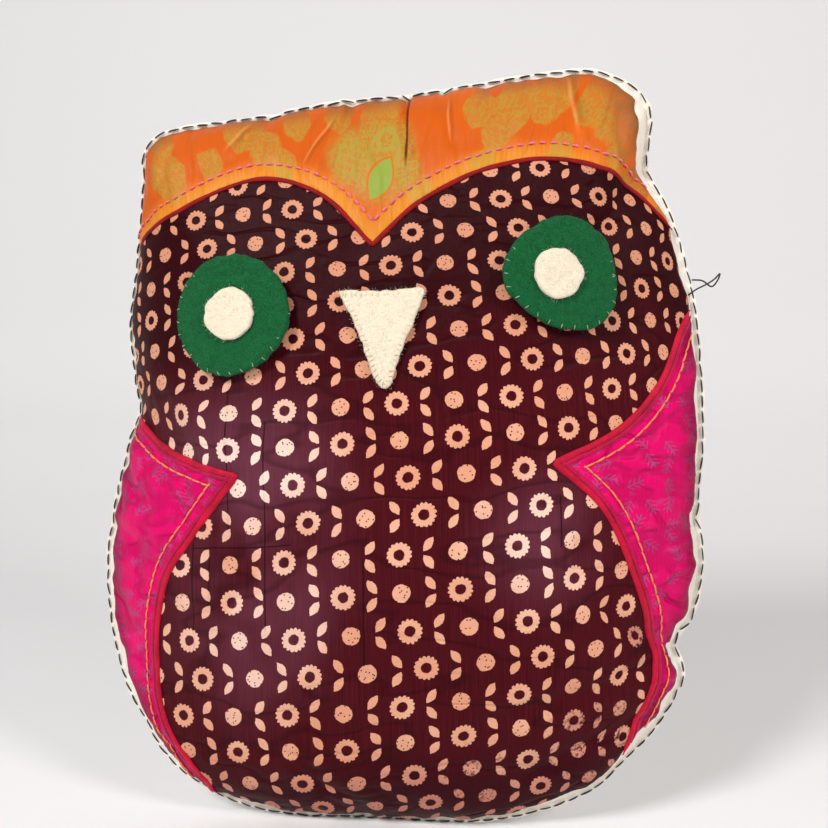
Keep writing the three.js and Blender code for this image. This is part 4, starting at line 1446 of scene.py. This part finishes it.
def hand_stitches():
    """Running stitches along the brow and both wings."""
    lift = PANEL_LIFT + 0.25 * MM
    brow_stitch = stitch_shape(3.9 * MM, THREAD_RADIUS, 0.4 * MM)
    brow = [front_stitches(within_panels(line, -2 * MM), lift)
            for line in offset_parts(-1, 8.5 * MM, BROW_LEFT, BROW_RIGHT)]
    rows_of_stitches("brow_stitches", brow, brow_stitch, 5.2 * MM, 0.12, 11, PINK, "pink_thread",
                     "forehead_stitch")
    wing_stitch = stitch_shape(6.4 * MM, 0.48 * MM, 0.3 * MM)
    for side, parts, wing in ((1, (WING_LEFT_UPPER, WING_LEFT_LOWER), "left"),
                              (-1, (WING_RIGHT_UPPER, WING_RIGHT_LOWER), "right")):
        lines = [front_stitches(within_panels(line, -2.5 * MM), lift)
                 for line in offset_parts(side, 8.0 * MM, *parts)]
        rows_of_stitches(f"{wing}_wing_stitches", lines, wing_stitch, 6.0 * MM, 0.06, 17 + side, AMBER,
                         "orange_thread", f"wing_{wing}_stitch")


def edge_stitches():
    """Black running stitches through both cloths, outside the seam, seen from both sides."""
    stitch = stitch_shape(6.4 * MM, 0.43 * MM, 0.3 * MM)
    lines = []
    for face in (FRONT, BACK):
        line = even_line(CUT_EDGE, spacing=2 * MM, closed=True)
        line = np.vstack([line, line[:1]])
        points, _ = face.at(line)
        away = right_of(points[:, [0, 2]], closed=True) * EDGE_STITCH_OUT
        points[:, 0] += away[:, 0]
        points[:, 2] = np.maximum(points[:, 2] + away[:, 1], 0.8 * MM)
        points[:, 1] += face.side * EDGE_STITCH_LIFT
        out = np.tile([0.0, float(face.side), 0.0], (len(points), 1))
        lines.append((points, line_directions(points), out))
    rows_of_stitches("edge_stitches", lines, stitch, 8.0 * MM, 0.14, 5, BLACK, "black_thread", "edge_stitch")


def thread_loop():
    """A doubled end of black thread left at the right edge."""
    low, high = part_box("thread_tail")
    y = low[1] - 0.6 * MM
    start, end, middle = low[0] + 1 * MM, high[0] + 5.5 * MM, (low[2] + high[2]) / 2
    loop = smooth_line([
        (start, y, middle + 1 * MM), (start + 5 * MM, y - 1 * MM, middle + 0.5 * MM),
        (end - 4 * MM, y - 2 * MM, middle - 2.5 * MM), (end - 1 * MM, y - 2 * MM, middle + 1 * MM),
        (end, y - 1 * MM, middle + 4 * MM), (end - 2.5 * MM, y - 2 * MM, middle + 1.5 * MM),
        (end - 6 * MM, y - 2 * MM, middle - 1 * MM), (start + 2 * MM, y - 1 * MM, middle - 4 * MM),
        (start - 2 * MM, y, middle - 7 * MM)])
    outs = np.tile([0.0, -1.0, 0.0], (len(loop), 1))
    piece = swept("thread_loop", loop, outs, 0.45 * MM, 0.45 * MM, 6)
    finish_piece(piece, BLACK, "black_thread", "thread_tail")


def tangent_frame(shares):
    """A point of the front and the directions across, up and out of it there."""
    cut = cut_place(to_place([shares]))
    step = np.array([[12 * MM, 0], [-12 * MM, 0], [0, 12 * MM], [0, -12 * MM]])
    around, _ = FRONT.at(cut + step)
    middle, _ = FRONT.at(cut, PANEL_LIFT)
    across = around[0] - around[1]
    up = around[2] - around[3]
    out = np.cross(across, up)
    out /= np.linalg.norm(out)
    across /= np.linalg.norm(across)
    return middle[0], across, np.cross(out, across), out


def face_under(frame_axes, places):
    """Height of the silk over the tangent plane at places in it, by stepping on the cut cloth."""
    middle, across, up, out = frame_axes
    flat = middle + places[:, :1] * across + places[:, 1:] * up
    cut = cut_place(flat[:, [0, 2]])
    for _ in range(3):
        points, _ = FRONT.at(cut, PANEL_LIFT)
        miss = flat - points
        miss -= (miss @ out)[:, None] * out
        cut = cut + miss[:, [0, 2]]
    points, _ = FRONT.at(cut, PANEL_LIFT)
    return (points - middle) @ out


# How a felt piece lies: its lift off the face, its thickness and how much it bends with the face
EYE_LIE = (3.2 * MM, 3.2 * MM, 0.42)
PUPIL_LIE = (6.4 * MM, 2.6 * MM, 0.42)
BEAK_LIE = (1.3 * MM, 2.4 * MM, 0.8)

# The edge of a felt piece from its top to its foot: mm inside the outline, and share of thickness
FELT_PROFILE = ((0.9, 1.0), (0.28, 0.86), (0.0, 0.55), (0.05, 0.25), (0.7, 0.0))


def felt_piece(name, frame_axes, outline, lie, bend, material, slot, node, fuzz, seed):
    """A thick piece of felt lying on the face, with loose fibres. bend curls it upwards."""
    middle, across, up, out = frame_axes
    base, thickness, follow = lie
    outline = even_line(outline, spacing=FELT_STEP, closed=True)
    place = np.arange(len(outline)) * FELT_STEP
    rough = 0.5 * MM * ripple(place, 3.1 * MM, seed) + 0.35 * MM * ripple(place, 9 * MM, seed + 1)
    away = right_of(outline, closed=True)
    outline = outline + away * rough[:, None]
    inner = outline - away * FELT_PROFILE[0][0] * MM
    flat, triangles = triangles_over(inner, spacing=1.6 * MM)

    def placed(points, height):
        surface = face_under(frame_axes, points)
        distance = np.hypot(*points.T)
        level = follow * surface + base + bend * (points[:, 0] * 0.6 + points[:, 1]) / (30 * MM)
        level = level + 0.25 * MM * ripple(points[:, 0] + distance, 12 * MM, seed + 2)
        level = np.maximum(level, surface + base * 0.6)
        return middle + points[:, :1] * across + points[:, 1:] * up + (level + height)[:, None] * out

    rim = np.arange(len(inner))
    verts = [placed(flat, thickness)]
    faces = [triangles.tolist()]
    total = len(flat)
    previous = rim
    for inset, share in FELT_PROFILE[1:-1]:
        ring = outline - away * inset * MM
        verts.append(placed(ring, share * thickness))
        faces.append(band_quads(previous, total + rim).tolist())
        previous = total + rim
        total += len(rim)
    verts.append(placed(flat, 0.0))
    faces.append(band_quads(previous, total + rim).tolist())
    faces.append((triangles[:, ::-1] + total).tolist())
    body = make_mesh(name, np.vstack(verts), [face for group in faces for face in group])
    smooth_shade(body)
    piece = FUZZ.make(body, name, Density=fuzz, Fibre=FIBRE_SHAPE, Seed=seed, Material=material)
    finish_piece(piece, material, slot, node)
    return outline


def round_outline(width, height, waves):
    """A hand-cut round: waves are (count, share, turn) of the radius."""
    turns = np.linspace(0, 2 * math.pi, 240, endpoint=False)
    radius = 1 + sum(share * np.cos(count * (turns - turn)) for count, share, turn in waves)
    return np.stack([np.cos(turns) * radius * width / 2, np.sin(turns) * radius * height / 2], axis=1)


def whip_lines(frame_axes, outline, lie):
    """The rim of a felt piece, with stitches leaning from its top over the edge."""
    middle, across, up, out = frame_axes
    base, thickness, follow = lie
    line = even_line(outline, spacing=1 * MM, closed=True)
    line = np.vstack([line, line[:1]])
    away = right_of(line, closed=True)
    inset = line - away * 1.1 * MM
    level = follow * face_under(frame_axes, inset) + base + 0.9 * thickness
    points = middle + inset[:, :1] * across + inset[:, 1:] * up + level[:, None] * out
    outward = away[:, :1] * across + away[:, 1:] * up
    lean = outward * 0.86 - out * 0.5
    return points, lean, out * 0.86 + outward * 0.5


def eye(side, shares, outline, pupil_shift, pupil_outline, seed):
    """A green disc with its cream pupil and its whip stitches."""
    frame_axes = tangent_frame(shares)
    rim = felt_piece(f"eye_{side}_disc", frame_axes, outline, EYE_LIE, 0.5 * MM, GREEN, "green_felt",
                     f"eye_{side}_felt", 420000, seed)
    felt_piece(f"eye_{side}_round", frame_axes, pupil_outline + np.array(pupil_shift) * MM, PUPIL_LIE,
               0.4 * MM, FELT, "cream_felt", f"eye_{side}_pupil", 500000, seed + 5)
    stitch = stitch_shape(2.3 * MM, 0.24 * MM, 0.25 * MM, 5)
    rows_of_stitches(f"eye_{side}_stitches", [whip_lines(frame_axes, rim, EYE_LIE)], stitch, 6.3 * MM,
                     0.5, seed + 9, PALE, "pale_thread", f"eye_{side}_stitch")


def eyes():
    disc = round_outline(60.5 * MM, 60 * MM, ((2, 0.012, 0.6), (3, 0.012, 2.2), (5, 0.006, 1.0)))
    pupil = round_outline(26 * MM, 26 * MM, ((2, 0.02, 0.3), (3, 0.015, 1.3)))
    eye("left", (-0.452, 0.698), disc, (0.3, 0.2), pupil, 51)
    disc = round_outline(55.5 * MM, 54 * MM, ((3, 0.052, -0.9), (2, 0.034, -0.75), (5, 0.012, 0.6)))
    pupil = round_outline(24.5 * MM, 24 * MM, ((2, 0.02, 1.9), (3, 0.02, 0.2)))
    eye("right", (0.509, 0.743), disc, (-3.4, -0.2), pupil, 61)


def beak():
    frame_axes = tangent_frame((-0.003, 0.676))
    corners = [(-20.8, 20.3), (-10, 20.6), (0, 20.8), (10, 21.2), (20.2, 21.6), (19.4, 17.0),
               (15.5, 7.5), (11.2, -2.5), (8.4, -12.0), (6.4, -20.0), (4.6, -24.8), (0.8, -26.0),
               (-2.6, -23.6), (-4.6, -18.6), (-8.0, -9.5), (-13.6, 4.0), (-19.2, 16.0)]
    outline = smooth_line(np.array(corners) * MM, closed=True)[::-1]
    rim = felt_piece("beak_shield", frame_axes, outline, BEAK_LIE, 0.4 * MM, FELT, "cream_felt",
                     "beak_felt", 600000, 71)
    stitch = stitch_shape(3.4 * MM, 0.34 * MM, 0.3 * MM, 5)
    rows_of_stitches("beak_stitches", [whip_lines(frame_axes, rim, BEAK_LIE)], stitch, 2.6 * MM, 0.45, 81,
                     ECRU, "pale_thread", "beak_stitch")


# ---- Camera, light and stage ---------------------------------------------

AZIMUTH, ELEVATION = math.radians(6), math.radians(5)
CAMERA_DISTANCE = 0.5374
CAMERA_TARGET = Vector((MID_X + 9.3 * MM, SEAM_Y, 0.2243))
LENS, SENSOR = 43.5, 36          # millimetres, as Blender's camera counts them
LIGHTS_AIM = Vector((0, 0, 0.2))


def set_camera():
    back = Vector((math.sin(AZIMUTH) * math.cos(ELEVATION), -math.cos(AZIMUTH) * math.cos(ELEVATION),
                   math.sin(ELEVATION)))
    data = bpy.data.cameras.new("camera")
    data.sensor_width = SENSOR
    data.lens = LENS
    data.clip_start = 0.01
    camera = add_object("camera", data)
    camera.location = CAMERA_TARGET + back * CAMERA_DISTANCE
    camera.rotation_euler = back.to_track_quat("Z", "Y").to_euler()
    bpy.context.scene.camera = camera


def area_light(name, place, size, power, colour=(1, 1, 1)):
    data = bpy.data.lights.new(name, "AREA")
    data.shape = "DISK"
    data.size = size
    data.energy = power
    data.color = colour
    light = add_object(name, data)
    light.location = place
    light.rotation_euler = (Vector(place) - LIGHTS_AIM).to_track_quat("Z", "Y").to_euler()


def set_stage():
    scene = bpy.context.scene
    scene.view_settings.view_transform = "Standard"
    world = bpy.data.worlds.new("soft room")
    world.use_nodes = True
    background = world.node_tree.nodes["Background"].inputs
    background["Color"].default_value = (1, 0.985, 0.96, 1)
    background["Strength"].default_value = 0.38
    scene.world = world
    area_light("window", (-0.8, -1.35, 1.35), 0.5, 26)
    area_light("far lamp", (1.25, -1.05, 1.1), 0.45, 14, (1, 0.97, 0.94))
    profile = [(-3.0, 0.0), (0.5, 0.0), (0.75, 0.03), (0.95, 0.12), (1.08, 0.3), (1.1, 3.0)]
    points = [(x, y, z) for y, z in profile for x in (-3.0, 3.0)]
    faces = [[2 * k, 2 * k + 1, 2 * k + 3, 2 * k + 2] for k in range(len(profile) - 1)]
    floor = make_mesh("floor", points, faces)
    floor.data.materials.append(plain_material("pale floor", "eeedee", 0.8))
    smooth_shade(floor)


set_camera()
set_stage()
STITCHES = stitch_recipe()
FUZZ = fuzz_recipe()
FIBRE_LINE = np.array([(0, 0, 0), (0.15, 0, 0.55), (0.5, 0, 1.0), (1.05, 0, 1.25)]) * 1.1 * MM
FIBRE_SHAPE = swept("fibre", FIBRE_LINE, np.tile([0.0, 1.0, 0.0], (4, 1)), 0.035 * MM, 0.035 * MM, 3)
FIBRE_SHAPE.hide_render = True
stuffing()
sewn_cloth("front_cotton", FRONT, "front_base_cloth")
sewn_cloth("back_cotton", BACK, "back_cloth")
silk_panels()
pipings()
hand_stitches()
edge_stitches()
thread_loop()
eyes()
beak()
for shape in [piece for piece in bpy.data.objects if piece.name.startswith(("stitch", "fibre"))]:
    bpy.data.objects.remove(shape)
